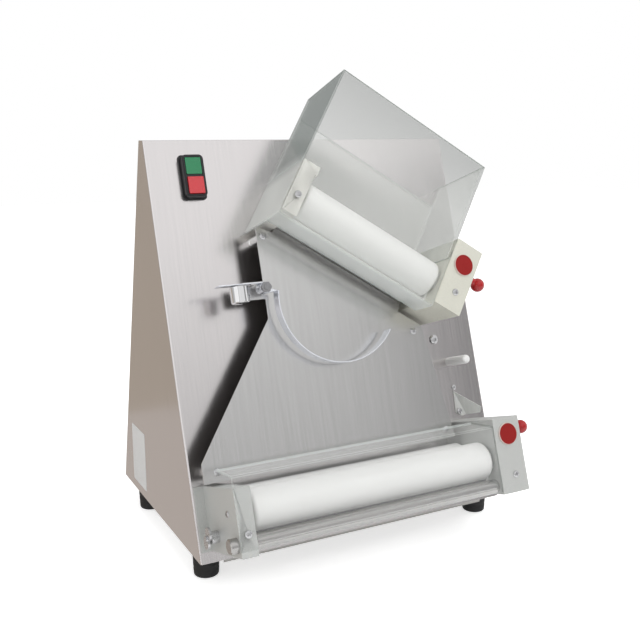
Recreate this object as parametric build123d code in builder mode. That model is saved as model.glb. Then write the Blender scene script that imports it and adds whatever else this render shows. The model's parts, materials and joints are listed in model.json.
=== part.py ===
# Two-stage dough sheeter: a wedge-shaped steel cabinet carries a tilted upper roller head and a level
# lower one on its sloping front. Dough drops through the upper nip, slides down the chute plate, is
# turned by a counterweighted swing arm and falls into the lower nip. Millimetres, +Z up, front towards -Y.
import os
from math import atan2, cos, pi, radians, sin, tan

from build123d import *

# Cabinet
body_w = 480.0
body_depth = 347.4
body_h = 531.0
top_front_y = 179.7
top_depth = 17.0
sheet = 1.5
bend_r = 3.0
flange_w = 14.0
foot_h = 31.0
foot_r = 18.0
foot_inset_x = 20.0
foot_front_y = 34.7
foot_back_inset = 69.6
foot_screw_r = 3.0
base_lip_h = 5.0
base_lip_inset = 33.0

# Fits
fit = 0.05
loose = 0.3
slide_fit = 0.1

# Roller heads
roller_r = 26.0
roller_gap = 0.5
roller_round = 6.0
upper_roller_len = 221.0
lower_roller_room = 120.0
upper_tilt = 34.0
upper_u = 27.7
upper_v = 389.0
lower_u = -19.0
lower_v = 67.0
rear_n = 30.0
open_travel = 3.0
guard_clear = 0.5
guard_t = 3.0
end_gap = 3.0
end_t = 22.0
block_t = 44.0
block_proud = 1.0
wall_in = 6.0
wall_out = 5.0
wall = 5.0
shaft_r = 8.0
shaft_in_end = 15.0
bearing_half_b = 12.0
bearing_half_n = 16.5
bearing_depth = 16.0
upper_block_low = 37.0
upper_block_top = 65.0
lower_block_low = 48.0
lower_block_top = 56.0
upper_end_low = 36.0
upper_end_top = 42.0
lower_end_low = 52.0
lower_end_top = 32.0

# Gears, worm drive and belt
gear_teeth = 21
gear_w = 6.5
gear_space = 1.2
tooth_root_half = 2.0
tooth_tip_half = 0.9
addendum_ratio = 0.8
dedendum_ratio = 1.04
worm_height = 33.0
worm_r = 8.0
worm_len = 36.0
worm_shaft_r = 6.0
wheel_w = 14.0
pulley_r = 25.0
pulley_rim = 3.0
pulley_w = 14.0
belt_t = 3.0
belt_w = 9.0
belt_depth = 23.0
motor_u = 60.0
motor_v = 215.0
motor_r = 55.0
motor_len = 150.0
motor_shaft_r = 7.0
bracket_w = 140.0
bracket_t = 4.0
bracket_depth = 44.0
bracket_leg_r = 6.0
bracket_leg_at = 50.0
capacitor_r = 20.0
capacitor_h = 70.0

# Thickness lever and knob
lever_arm = 36.0
lever_t = 7.0
lever_hub_r = 12.0
lever_half_w = 6.0
lever_pin_r = 5.0
index_holes = 7
index_step = 15.0
index_r = 3.4
index_depth = 3.0
plunger_r = 3.0
ball_r = 10.0
ball_reach = 29.0

# Clear covers
hopper_top = 186.5
hopper_low = 45.0
hopper_back_top = 150.0
hopper_lip = 40.0
hopper_back_low = 47.0
hopper_right_low = 32.0
guard_top = 47.0
guard_low = 44.0
guard_back_n = 66.0
guard_back_rise = 10.0

# Chute and swing arm
chute_n = 40.0
chute_left = -114.6
chute_left_gap = 5.6
chute_top_v = 428.0
chute_knee_v = 302.7
chute_slant_v = 128.9
chute_low_v = 103.0
chute_low_gap = 13.0
chute_corner_x = 146.0
head_clear = 8.0
standoff_r = 6.0
screw_r = 2.5
head_r = 5.0
head_h = 2.6
peg_r = 6.5
peg_len = 48.0
peg_side = 50.9
peg_v = 211.7
pivot_u = -124.0
pivot_v = 341.0
pivot_r = 4.0
barrel_r = 7.5
arm_n = 52.0
arm_w = 16.0
arm_t = 1.5
arm_centre_u = -18.0
arm_centre_v = 320.0
arm_r = 90.0
arm_start = 170.0
arm_sweep = 154.0
bar_len = 64.0
bar_w = 16.0
weight_r = 12.5
weight_h = 24.0
weight_reach = 34.0
tie_r = 9.5
tie_b = -36.0
tie_n = 100.5
tie_stick_out = 11.0

# Switch
switch_side = 62.0
switch_v = 508.0
switch_w = 30.0
switch_h = 58.0
switch_n = 12.0
button_w = 22.0
button_h = 23.0
button_travel = 2.5
green_proud = 0.8
red_proud = 3.0

front_n = rear_n + 2 * roller_r + roller_gap
face_n = front_n + roller_r + open_travel + guard_clear
block_face = face_n + guard_t + block_proud
gear_pitch_r = (front_n - rear_n) / 2
gear_module = 2 * gear_pitch_r / gear_teeth
gear_tip_r = gear_pitch_r + addendum_ratio * gear_module
gear_root_r = gear_pitch_r - dedendum_ratio * gear_module
panel_tilt = atan2(top_front_y, body_h)
top_back_y = top_front_y + top_depth
back_tilt = atan2(body_depth - top_back_y, body_h)
half_w = body_w / 2
inner_half = half_w - sheet
lower_roller_len = body_w - lower_roller_room
chute_wide_left = chute_left_gap - half_w
switch_u = switch_side - half_w
peg_u = half_w - peg_side

# The sloping front: x to the right, y up the slope, z outwards, from the middle of its bottom edge.
front = Plane(origin=(0, 0, foot_h), x_dir=(1, 0, 0), z_dir=(0, -cos(panel_tilt), sin(panel_tilt)))
pieces = []


def keep(builder, label):
    """Names a finished piece and puts it on the list that is written out at the end."""
    builder.part.label = label
    pieces.append(builder.part)


def slab(x, y, z, mode=Mode.ADD):
    """A box from three (low, high) ranges in the builder's own plane."""
    with Locations(((x[0] + x[1]) / 2, (y[0] + y[1]) / 2, (z[0] + z[1]) / 2)):
        Box(abs(x[1] - x[0]), abs(y[1] - y[0]), abs(z[1] - z[0]), mode=mode)


def rod(x, y, z, radius, mode=Mode.ADD):
    """A cylinder along the plane's x."""
    with Locations(((x[0] + x[1]) / 2, y, z)):
        Cylinder(radius, x[1] - x[0], rotation=(0, 90, 0), mode=mode)


def stud(x, y, z, radius, mode=Mode.ADD):
    """A cylinder along the plane's z."""
    with Locations((x, y, (z[0] + z[1]) / 2)):
        Cylinder(radius, z[1] - z[0], mode=mode)


def screw_head(x, y, z, size=1.0):
    """A low domed screw head that stands on height z, with its shank below."""
    with Locations((x, y, z)):
        rim_r = size * head_r
        Cone(rim_r, 0.62 * rim_r, size * head_h, align=(Align.CENTER, Align.CENTER, Align.MIN))


def shifted(plane, x=0.0, y=0.0, z=0.0):
    """The same plane, moved in its own axes."""
    return Plane(origin=plane.from_local_coords((x, y, z)), x_dir=plane.x_dir, z_dir=plane.z_dir)


def across(plane, x):
    """A plane square to the rollers: sketch x is up the slope, sketch y is outwards."""
    return Plane(origin=plane.from_local_coords((x, 0, 0)), x_dir=plane.y_dir, z_dir=plane.x_dir)


def gear_outline(axis_n):
    """Corner points of a straight-sided spur gear, with tooth 0 pointing outwards."""
    points = []
    for tooth in range(gear_teeth):
        middle = pi / 2 + 2 * pi * tooth / gear_teeth
        corners = (
            (gear_root_r, -tooth_root_half / gear_root_r),
            (gear_tip_r, -tooth_tip_half / gear_tip_r),
            (gear_tip_r, tooth_tip_half / gear_tip_r),
            (gear_root_r, tooth_root_half / gear_root_r),
        )
        for radius, turn in corners:
            points.append((radius * cos(middle + turn), axis_n + radius * sin(middle + turn)))
    return points


def upper_to_panel(x, y):
    """A point of the tilted upper head, in the front's own coordinates."""
    turn = radians(upper_tilt)
    return (upper_u + x * cos(turn) + y * sin(turn), upper_v - x * sin(turn) + y * cos(turn))


upper_axis = front.x_dir * cos(radians(upper_tilt)) - front.y_dir * sin(radians(upper_tilt))
upper = Plane(origin=front.from_local_coords((upper_u, upper_v, 0)), x_dir=upper_axis, z_dir=front.z_dir)
lower = shifted(front, lower_u, lower_v)


def block_start(roller_len):
    """Where a head's gear block begins, measured along its rollers from their middle."""
    return roller_len / 2 + end_gap


def worm_x(roller_len):
    """The worm shaft's place along the rollers, in the middle of the gear block."""
    return block_start(roller_len) + block_t / 2


upper_worm = upper_to_panel(worm_x(upper_roller_len), worm_height)
lower_worm = (lower_u + worm_x(lower_roller_len), lower_v + worm_height)

# Bent steel shell: front, two sides and top, open at the back and below, with return flanges behind
side_plane = Plane(origin=(0, 0, foot_h), x_dir=(0, 1, 0), z_dir=(1, 0, 0))
front_skin = sheet / cos(panel_tilt)
back_skin = sheet / cos(back_tilt)


def back_line(height, inward):
    """Depth of the sloping back at a height, measured inwards by a number of sheet skins."""
    return body_depth - height * tan(back_tilt) - inward * back_skin


inner_top = body_h - sheet
with BuildPart() as cabinet_shell:
    with BuildSketch(side_plane):
        Polygon((0, 0), (body_depth, 0), (top_back_y, body_h), (top_front_y, body_h), align=None)
    extrude(amount=half_w, both=True)
    corner_edges = cabinet_shell.edges().filter_by(
        lambda edge: abs(abs(edge.center().X) - half_w) < slide_fit and edge.center().Y < top_front_y
        and foot_h + sheet < edge.center().Z < foot_h + body_h - sheet
    )
    fillet(corner_edges, bend_r)
    with BuildSketch(side_plane):
        Polygon(
            (front_skin, 0),
            (body_depth + flange_w, 0),
            (body_depth + flange_w, inner_top),
            (front_skin + inner_top * tan(panel_tilt), inner_top),
            align=None,
        )
    extrude(amount=inner_half, both=True, mode=Mode.SUBTRACT)
    for side in (-1, 1):
        with BuildSketch(shifted(side_plane, 0, 0, side * (inner_half - flange_w / 2))):
            Polygon(
                (back_line(foot_r, 1), foot_r),
                (back_line(inner_top, 1), inner_top),
                (back_line(inner_top, 2), inner_top),
                (back_line(foot_r, 2), foot_r),
                align=None,
            )
        extrude(amount=flange_w / 2, both=True)
    with Locations(front.location):
        for hole_u, hole_v in (upper_worm, lower_worm):
            with Locations((hole_u, hole_v, 0)):
                Cylinder(worm_shaft_r + fit, 4 * sheet, mode=Mode.SUBTRACT)
keep(cabinet_shell, "cabinet_shell")

# Sloping back cover, held by screws to the shell's return flanges
back_heights = (0.12 * body_h, 0.5 * body_h, 0.88 * body_h)
screw_side = inner_half - flange_w / 2
gland_z = 0.16 * body_h
gland_x = 0.55 * half_w
gland_r = 9.0
gland_nut_h = 6.0
gland_cone_h = 12.0
back = Plane(
    origin=(0, body_depth, foot_h),
    x_dir=(-1, 0, 0),
    z_dir=(0, cos(back_tilt), sin(back_tilt)),
)
with BuildPart() as back_panel:
    with BuildSketch(side_plane):
        Polygon(
            (back_line(sheet + loose, 0), sheet + loose),
            (back_line(inner_top - loose, 0), inner_top - loose),
            (back_line(inner_top - loose, 1), inner_top - loose),
            (back_line(sheet + loose, 1), sheet + loose),
            align=None,
        )
    extrude(amount=inner_half - loose, both=True)
    with Locations(back.location):
        with Locations((-gland_x, gland_z, 0)):
            Cylinder(gland_r + fit, 6 * sheet, mode=Mode.SUBTRACT)
keep(back_panel, "back_panel")

with BuildPart(back) as back_panel_screws:
    for height in back_heights:
        for x in (-screw_side, screw_side):
            screw_head(x, height / cos(back_tilt), 0)
keep(back_panel_screws, "back_panel_screws")

with BuildPart(back) as cable_gland:
    stud(-gland_x, gland_z, (-8 * sheet, 0), gland_r)
    stud(-gland_x, gland_z, (0, gland_nut_h), 1.35 * gland_r)
    with Locations((-gland_x, gland_z, gland_nut_h)):
        Cone(1.15 * gland_r, 0.7 * gland_r, gland_cone_h, align=(Align.CENTER, Align.CENTER, Align.MIN))
    gland_bore = (-8 * sheet, gland_nut_h + gland_cone_h)
    stud(-gland_x, gland_z, gland_bore, 0.4 * gland_r, mode=Mode.SUBTRACT)
keep(cable_gland, "cable_gland")

# Base plate with a turned-down front lip, four rubber feet and the screws that hold them
foot_spots = [
    (side * (half_w - foot_inset_x), y)
    for side in (-1, 1)
    for y in (foot_front_y, body_depth - foot_back_inset)
]
with BuildPart() as base_plate:
    slab(
        (-inner_half + loose, inner_half - loose),
        (front_skin + sheet, body_depth - back_skin - 2 * loose),
        (foot_h, foot_h + sheet),
    )
    slab(
        (base_lip_inset - half_w, half_w - base_lip_inset),
        (front_skin + sheet, front_skin + 2 * sheet),
        (foot_h - base_lip_h, foot_h + sheet),
    )
    with Locations(*[(x, y, foot_h) for x, y in foot_spots]):
        Cylinder(foot_screw_r + fit, 4 * sheet, mode=Mode.SUBTRACT)
keep(base_plate, "base_plate")

foot_recess_r = 9.0
foot_recess_h = 12.0
with BuildPart() as rubber_feet:
    for x, y in foot_spots:
        with Locations((x, y, 0)):
            Cone(0.92 * foot_r, foot_r, foot_h, align=(Align.CENTER, Align.CENTER, Align.MIN))
        stud(x, y, (0, foot_recess_h), foot_recess_r, mode=Mode.SUBTRACT)
        stud(x, y, (0, foot_h), foot_screw_r + fit, mode=Mode.SUBTRACT)
keep(rubber_feet, "rubber_feet")

with BuildPart() as foot_screws:
    for x, y in foot_spots:
        stud(x, y, (foot_recess_h - head_h, foot_recess_h), foot_recess_r - 2 * loose)
        stud(x, y, (foot_recess_h, foot_h + 4 * sheet), foot_screw_r)
        stud(x, y, (foot_h + sheet, foot_h + 4 * sheet), 2 * foot_screw_r)
keep(foot_screws, "foot_screws")

# Switch box with a start button above a prouder stop button
switch_floor = 3.0
button_gap = (switch_h - 2 * button_h) / 3
start_v = switch_v + (button_h + button_gap) / 2
stop_v = switch_v - (button_h + button_gap) / 2
button_back = switch_floor + button_travel + 2 * slide_fit
with BuildPart(front) as switch_box:
    slab(
        (switch_u - switch_w / 2, switch_u + switch_w / 2),
        (switch_v - switch_h / 2, switch_v + switch_h / 2),
        (0, switch_n),
    )
    rim_edges = switch_box.edges().filter_by(
        lambda edge: edge.length < 2 * switch_n and abs(edge.length - switch_n) < slide_fit
    )
    fillet(rim_edges, 2 * bend_r)
    for pocket_v in (start_v, stop_v):
        slab(
            (switch_u - button_w / 2 - loose, switch_u + button_w / 2 + loose),
            (pocket_v - button_h / 2 - loose, pocket_v + button_h / 2 + loose),
            (switch_floor, switch_n),
            mode=Mode.SUBTRACT,
        )
keep(switch_box, "switch_box")

for label, button_v, proud in (("start_button", start_v, green_proud), ("stop_button", stop_v, red_proud)):
    with BuildPart(front) as push_button:
        slab(
            (switch_u - button_w / 2, switch_u + button_w / 2),
            (button_v - button_h / 2, button_v + button_h / 2),
            (button_back, switch_n + proud),
        )
        outer_face = push_button.faces().sort_by(Axis(origin=(0, 0, 0), direction=front.z_dir))[-1]
        fillet(outer_face.edges(), green_proud / 2)
    keep(push_button, label)

# Roller heads: the same pieces twice, with long or short rollers
screw_in = 9.0
block_screw_x = 25.0
cheek_t = 2.4
cheek_back = 8.0
cheek_front = 4.0
scraper_low = 34.0
scraper_t = 2.0
scraper_foot = 12.0
scraper_clear = 0.6
cap_r = 15.5
cap_t = 2.0
eye_r = 8.5
collar_r = 5.5
collar_len = 6.0
wing_screw_r = 4.0
wing_b = -30.0
wing_n = 36.0
wing_in = 8.0
end_flange_w = 13.0
end_flange_t = 3.0
end_step_w = 3.0
end_step_b = 29.5
end_step_n = 17.0


def pulley(x, y):
    """A flanged belt pulley round a shaft that runs along the plane's z, behind the front panel."""
    stud(x, y, (-belt_depth - pulley_w / 2, -belt_depth + pulley_w / 2), pulley_r)
    flange = (pulley_w - belt_w) / 2 - fit * 10
    for side in (-1, 1):
        outer = -belt_depth + side * pulley_w / 2
        stud(x, y, sorted((outer, outer - side * flange)), pulley_r + pulley_rim)


def make_head(head, name, roller_len, block_low, block_top, end_low, end_top, screw_b):
    """One roller head in its own plane: x along the rollers, y up the slope, z outwards."""
    x0 = block_start(roller_len)
    x1 = x0 + block_t
    left_in = -x0
    left_out = left_in - end_t
    wx = worm_x(roller_len)
    slot_n = (front_n - bearing_half_n - slide_fit, front_n + bearing_half_n + open_travel + slide_fit)
    bearing_b = (slide_fit - bearing_half_b, bearing_half_b - slide_fit)
    bearing_n = (front_n - bearing_half_n, front_n + bearing_half_n)
    gear_x = x0 + wall_in + gear_space
    end_screw_x = left_out + end_t / 2

    # Hollow cast block that holds the gears and the worm, open towards the front panel
    with BuildPart(head) as gear_block:
        slab((x0, x1), (-block_low, block_top), (0, block_face))
        fillet(gear_block.edges().filter_by(Axis((0, 0, 0), head.z_dir)), bend_r / 2)
        cavity_b = (wall - block_low, block_top - wall)
        slab((x0 + wall_in, x1 - wall_out), cavity_b, (0, block_face - wall), mode=Mode.SUBTRACT)
        relief_n = (rear_n, front_n + gear_tip_r + open_travel + loose)
        slab((x0 + wall_in, gear_x + gear_w + gear_space), cavity_b, relief_n, mode=Mode.SUBTRACT)
        rod((x0, x1 - wall_out / 2), 0, rear_n, shaft_r + fit, mode=Mode.SUBTRACT)
        slab((x0, x0 + wall_in), (-bearing_half_b, bearing_half_b), slot_n, mode=Mode.SUBTRACT)
        stud(wx, worm_height, (block_face - wall, block_face), worm_shaft_r + fit, mode=Mode.SUBTRACT)
        rod((x1 - wall_out, x1), 0, front_n, lever_pin_r + fit, mode=Mode.SUBTRACT)
        for hole in range(index_holes):
            turn = radians(hole * index_step)
            hole_b = lever_arm * cos(turn)
            hole_n = front_n - lever_arm * sin(turn)
            rod((x1 - index_depth, x1), hole_b, hole_n, index_r, mode=Mode.SUBTRACT)
        screw_n = (block_face - wall, block_face)
        stud(x0 + block_screw_x, screw_b, screw_n, screw_r + fit, mode=Mode.SUBTRACT)
    keep(gear_block, f"{name}_gear_block")

    # Cast end plate on the left, with a blind bore and a blind slot
    with BuildPart(head) as end_plate:
        slab((left_out, left_in), (-end_low, end_top), (0, face_n))
        fillet(end_plate.edges().filter_by(Axis((0, 0, 0), head.z_dir)), bend_r / 2)
        rod((left_in - shaft_in_end - end_gap / 3, left_in), 0, rear_n, shaft_r + fit, mode=Mode.SUBTRACT)
        slot_x = (left_in - bearing_depth - slide_fit, left_in)
        slab(slot_x, (-bearing_half_b, bearing_half_b), slot_n, mode=Mode.SUBTRACT)
        stud(end_screw_x, screw_b, (face_n - screw_in, face_n), screw_r + fit, mode=Mode.SUBTRACT)
        if head is upper:
            slab((left_in, left_in + end_step_w), (end_step_b, end_top), (face_n - end_step_n, face_n))
        else:
            rod((left_out, left_in), tie_b, tie_n, tie_r + fit, mode=Mode.SUBTRACT)
            slab((left_out - end_flange_w, left_out), (-end_low, end_top), (0, end_flange_t))
            rod((left_out, left_out + wing_in), wing_b, wing_n, wing_screw_r + fit, mode=Mode.SUBTRACT)
    keep(end_plate, f"{name}_end_plate")

    # Two sliding bearing blocks with cheeks that carry the scraper
    cheek_b = (-scraper_low, bearing_half_b - slide_fit)
    cheek_n = (front_n - cheek_back, front_n + cheek_front)
    with BuildPart(head) as bearing_blocks:
        slab((left_in - bearing_depth, left_in), bearing_b, bearing_n)
        slab((left_in, left_in + cheek_t), cheek_b, cheek_n)
        slab((x0, x0 + wall_in), bearing_b, bearing_n)
        slab((x0 - cheek_t, x0), cheek_b, cheek_n)
        rod((left_in - bearing_depth, x0 + wall_in), 0, front_n, shaft_r + fit, mode=Mode.SUBTRACT)
    keep(bearing_blocks, f"{name}_bearing_blocks")

    # Scraper blade under the front roller, with a turned foot
    blade_x = (left_in + cheek_t, x0 - cheek_t)
    with BuildPart(head) as scraper:
        blade_n = (front_n - scraper_t / 2, front_n + scraper_t / 2)
        slab(blade_x, (-scraper_low, -roller_r - scraper_clear), blade_n)
        foot_n = (front_n - scraper_foot, front_n + scraper_t / 2)
        slab(blade_x, (-scraper_low, scraper_t - scraper_low), foot_n)
    keep(scraper, f"{name}_scraper")

    # Rollers, their shafts and the gears that couple them
    rollers = (("front", front_n, gear_x + gear_w + gear_space), ("rear", rear_n, x1 - 0.6 * wall_out))
    for place, axis_n, shaft_end in rollers:
        with BuildPart(head) as roller:
            rod((-roller_len / 2, roller_len / 2), 0, axis_n, roller_r)
            fillet(roller.edges().filter_by(GeomType.CIRCLE), roller_round)
            rod((-roller_len / 2, roller_len / 2), 0, axis_n, shaft_r + fit, mode=Mode.SUBTRACT)
        keep(roller, f"{name}_{place}_roller")
        with BuildPart(head) as shaft:
            rod((left_in - shaft_in_end, shaft_end), 0, axis_n, shaft_r)
        keep(shaft, f"{name}_{place}_shaft")
        with BuildPart(head) as gear:
            with BuildSketch(across(head, gear_x)):
                Polygon(*gear_outline(axis_n), align=None)
            extrude(amount=gear_w)
            rod((gear_x, gear_x + gear_w), 0, axis_n, shaft_r + fit, mode=Mode.SUBTRACT)
        keep(gear, f"{name}_{place}_gear")

    # Worm wheel on the rear shaft, worm shaft through the front panel, and its pulley behind it
    wheel_x = (wx - wheel_w / 2, wx + wheel_w / 2)
    with BuildPart(head) as worm_wheel:
        rod(wheel_x, 0, rear_n, worm_height - worm_r - loose)
        chamfer(worm_wheel.edges().filter_by(GeomType.CIRCLE), bend_r / 2)
        rod(wheel_x, 0, rear_n, shaft_r + fit, mode=Mode.SUBTRACT)
    keep(worm_wheel, f"{name}_worm_wheel")

    with BuildPart(head) as worm_shaft:
        stud(wx, worm_height, (-belt_depth - pulley_w / 2, block_face - loose), worm_shaft_r)
        stud(wx, worm_height, (rear_n - worm_len / 2, rear_n + worm_len / 2), worm_r)
    keep(worm_shaft, f"{name}_worm_shaft")

    with BuildPart(head) as worm_pulley:
        pulley(wx, worm_height)
        stud(wx, worm_height, (-belt_depth - pulley_w, -sheet), worm_shaft_r + fit, mode=Mode.SUBTRACT)
    keep(worm_pulley, f"{name}_worm_pulley")

    # Thickness lever on the block's right face, and the sprung ball knob in its eye
    lever_x = (x1 + loose, x1 + loose + lever_t)
    with BuildPart(head) as lever:
        rod(lever_x, 0, front_n, lever_hub_r)
        slab(lever_x, (0, lever_arm), (front_n - lever_half_w, front_n + lever_half_w))
        rod(lever_x, lever_arm, front_n, eye_r)
        rod((x1 - wall_out, x1 + loose), 0, front_n, lever_pin_r)
        rod(lever_x, lever_arm, front_n, plunger_r + fit, mode=Mode.SUBTRACT)
    keep(lever, f"{name}_lever")

    with BuildPart(head) as knob:
        rod((x1 + loose, x1 + ball_reach), lever_arm, front_n, plunger_r)
        rod((x1 + ball_reach - ball_r - collar_len, x1 + ball_reach), lever_arm, front_n, collar_r)
        with Locations((x1 + ball_reach, lever_arm, front_n)):
            Sphere(ball_r)
    keep(knob, f"{name}_knob")


upper_screw_b = -9.0
lower_screw_b = -24.0
make_head(
    upper,
    "upper",
    upper_roller_len,
    upper_block_low,
    upper_block_top,
    upper_end_low,
    upper_end_top,
    upper_screw_b,
)
make_head(
    lower,
    "lower",
    lower_roller_len,
    lower_block_low,
    lower_block_top,
    lower_end_low,
    lower_end_top,
    lower_screw_b,
)

# Clear hopper of the upper head: left, front, right and low back walls, open at the top
upper_x0 = block_start(upper_roller_len)
upper_left = -upper_x0 - end_t
with BuildPart(upper) as hopper:
    slab((upper_left - guard_t, upper_x0), (-hopper_low, hopper_top), (face_n, face_n + guard_t))
    slab((upper_left - guard_t, upper_left), (-hopper_low, hopper_top), (loose, face_n))
    slab((upper_x0 - guard_t, upper_x0), (hopper_right_low, hopper_top), (loose, face_n))
    slab((upper_left, upper_x0), (hopper_back_low, hopper_back_top), (loose, loose + guard_t))
    lip_b = (-hopper_low, guard_t - hopper_low)
    slab((upper_left, upper_x0), lip_b, (face_n - hopper_lip, face_n))
    stud(
        upper_left + end_t / 2,
        upper_screw_b,
        (face_n, face_n + guard_t),
        screw_r + fit,
        mode=Mode.SUBTRACT,
    )
keep(hopper, "upper_hopper")

# Clear guard of the lower head: a front wall and a top that slopes back to the chute
lower_x0 = block_start(lower_roller_len)
lower_left = -lower_x0 - end_t
with BuildPart(lower) as lower_guard:
    slab((lower_left, lower_x0), (-guard_low, guard_top), (face_n, face_n + guard_t))
    with BuildSketch(across(lower, lower_left)):
        Polygon(
            (guard_top, face_n + guard_t),
            (guard_top + guard_back_rise - guard_t, guard_back_n),
            (guard_top + guard_back_rise - 2 * guard_t, guard_back_n),
            (guard_top - guard_t, face_n + guard_t),
            align=None,
        )
    extrude(amount=lower_x0 - lower_left)
    stud(
        lower_left + end_t / 2,
        lower_screw_b,
        (face_n, face_n + guard_t),
        screw_r + fit,
        mode=Mode.SUBTRACT,
    )
keep(lower_guard, "lower_guard")

# Round tie bar between the lower end plate and its gear block
with BuildPart(lower) as tie_bar:
    rod((lower_left - tie_stick_out, lower_x0), tie_b, tie_n, tie_r)
    chamfer(tie_bar.edges().filter_by(GeomType.CIRCLE), screw_r / 2)
keep(tie_bar, "lower_tie_bar")

# Motor on a legged bracket behind the front panel, its pulley, and one belt round the three pulleys
with BuildPart(front) as motor_bracket:
    bracket_half = bracket_w / 2
    boss_r = 0.55 * motor_r
    plate_n = (-bracket_depth, bracket_t - bracket_depth)
    slab(
        (motor_u - bracket_half, motor_u + bracket_half),
        (motor_v - bracket_half, motor_v + bracket_half),
        plate_n,
    )
    stud(motor_u, motor_v, plate_n, boss_r, mode=Mode.SUBTRACT)
    for leg_u in (motor_u - bracket_leg_at, motor_u + bracket_leg_at):
        for leg_v in (motor_v - bracket_leg_at, motor_v + bracket_leg_at):
            stud(leg_u, leg_v, (bracket_t - bracket_depth, -sheet), bracket_leg_r)
keep(motor_bracket, "motor_bracket")

motor_bore = 16.0
with BuildPart(front) as motor:
    stud(motor_u, motor_v, (-bracket_depth - motor_len, -bracket_depth), motor_r)
    stud(motor_u, motor_v, plate_n, boss_r - loose)
    stud(
        motor_u,
        motor_v,
        (-bracket_depth - motor_bore, bracket_t - bracket_depth),
        motor_shaft_r + fit,
        mode=Mode.SUBTRACT,
    )
keep(motor, "motor")

# The motor's pulley and the shaft that it is one piece with
with BuildPart(front) as motor_pulley:
    pulley(motor_u, motor_v)
    shaft_n = (loose - bracket_depth - motor_bore, pulley_w / 2 - belt_depth)
    stud(motor_u, motor_v, shaft_n, motor_shaft_r)
keep(motor_pulley, "motor_pulley")

pulley_centres = (upper_worm, lower_worm, (motor_u, motor_v))
belt_plane = shifted(front, 0, 0, -belt_depth - belt_w / 2)
with BuildPart() as drive_belt:
    with BuildSketch(belt_plane):
        with Locations(*pulley_centres):
            Circle(pulley_r + loose + belt_t)
        make_hull()
    extrude(amount=belt_w)
    with BuildSketch(belt_plane):
        with Locations(*pulley_centres):
            Circle(pulley_r + loose)
        make_hull()
    extrude(amount=belt_w, mode=Mode.SUBTRACT)
keep(drive_belt, "drive_belt")

capacitor_x = -half_w / 2
capacitor_y = body_depth / 2
with BuildPart() as capacitor:
    stud(capacitor_x, capacitor_y, (foot_h + sheet, foot_h + sheet + capacitor_h), capacitor_r)
    cap_top = capacitor.faces().sort_by(Axis.Z)[-1]
    fillet(cap_top.edges(), bend_r)
keep(capacitor, "capacitor")

# Red caps over the front ends of the two worm bores
with BuildPart(front) as worm_caps:
    for cap_u, cap_v in (upper_worm, lower_worm):
        stud(cap_u, cap_v, (block_face, block_face + cap_t), cap_r)
    rims = worm_caps.edges().filter_by(GeomType.CIRCLE).group_by(Axis((0, 0, 0), front.z_dir))[-1]
    fillet(rims, cap_t / 2)
keep(worm_caps, "worm_caps")

# Chute plate between the heads, notched round their end pieces, with an ear and a stop for the arm
ear_w = 20.0
ear_up = 12.0
ear_down = 12.0
stop_gap = 6.0
stop_u = pivot_u - barrel_r - stop_gap
stop_w = 6.0
bar_v = pivot_v + barrel_r - arm_t
chute_face = chute_n + sheet
left_notch = upper_to_panel(-upper_x0, -hopper_low + end_gap)
plate_edge = -upper_block_low + end_gap
notch_edge = -upper_block_low - head_clear - sheet
right_notch_x = upper_x0 - head_clear - end_gap
chute_low_right = lower_u + lower_x0 - chute_low_gap
with BuildPart(front) as chute_plate:
    with BuildSketch(shifted(front, 0, 0, chute_n)):
        Polygon(
            (chute_wide_left, chute_low_v),
            (chute_low_right, chute_low_v),
            upper_to_panel(chute_corner_x, notch_edge),
            upper_to_panel(right_notch_x, notch_edge),
            upper_to_panel(right_notch_x, plate_edge),
            upper_to_panel(-upper_x0, plate_edge),
            left_notch,
            (chute_left, chute_top_v),
            (chute_left, chute_knee_v),
            (chute_wide_left, chute_slant_v),
            align=None,
        )
    extrude(amount=sheet)
    slab((pivot_u - ear_w, chute_left), (pivot_v - ear_down, pivot_v + ear_up), (chute_n, chute_face))
    slab((stop_u - stop_w, stop_u), (bar_v - loose - sheet, bar_v - loose), (chute_n, arm_n + bar_w))
    stud(pivot_u, pivot_v, (chute_n, chute_face), pivot_r + fit, mode=Mode.SUBTRACT)
keep(chute_plate, "chute_plate")

standoff_in = 9.6
standoff_down = 14.4
standoff_side = 19.4
standoff_up = 13.0
corner_in = 9.0
corner_down = 14.0
low_right_in = 15.0
standoff_spots = (
    (chute_left + standoff_in, chute_top_v - standoff_down),
    (chute_wide_left + standoff_side, chute_low_v + standoff_up),
    upper_to_panel(chute_corner_x - corner_in, notch_edge - corner_down),
    (chute_low_right - low_right_in, chute_low_v + standoff_up),
)
with BuildPart(front) as chute_standoffs:
    for spot_u, spot_v in standoff_spots:
        stud(spot_u, spot_v, (0, chute_n), standoff_r)
keep(chute_standoffs, "chute_standoffs")

# Round guide peg with a rounded end, and a small bent deflector, both to the right of the chute
with BuildPart(front) as guide_peg:
    stud(peg_u, peg_v, (0, peg_len), peg_r)
    peg_end = guide_peg.faces().sort_by(Axis((0, 0, 0), front.z_dir))[-1]
    fillet(peg_end.edges(), 0.7 * peg_r)
keep(guide_peg, "guide_peg")

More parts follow.
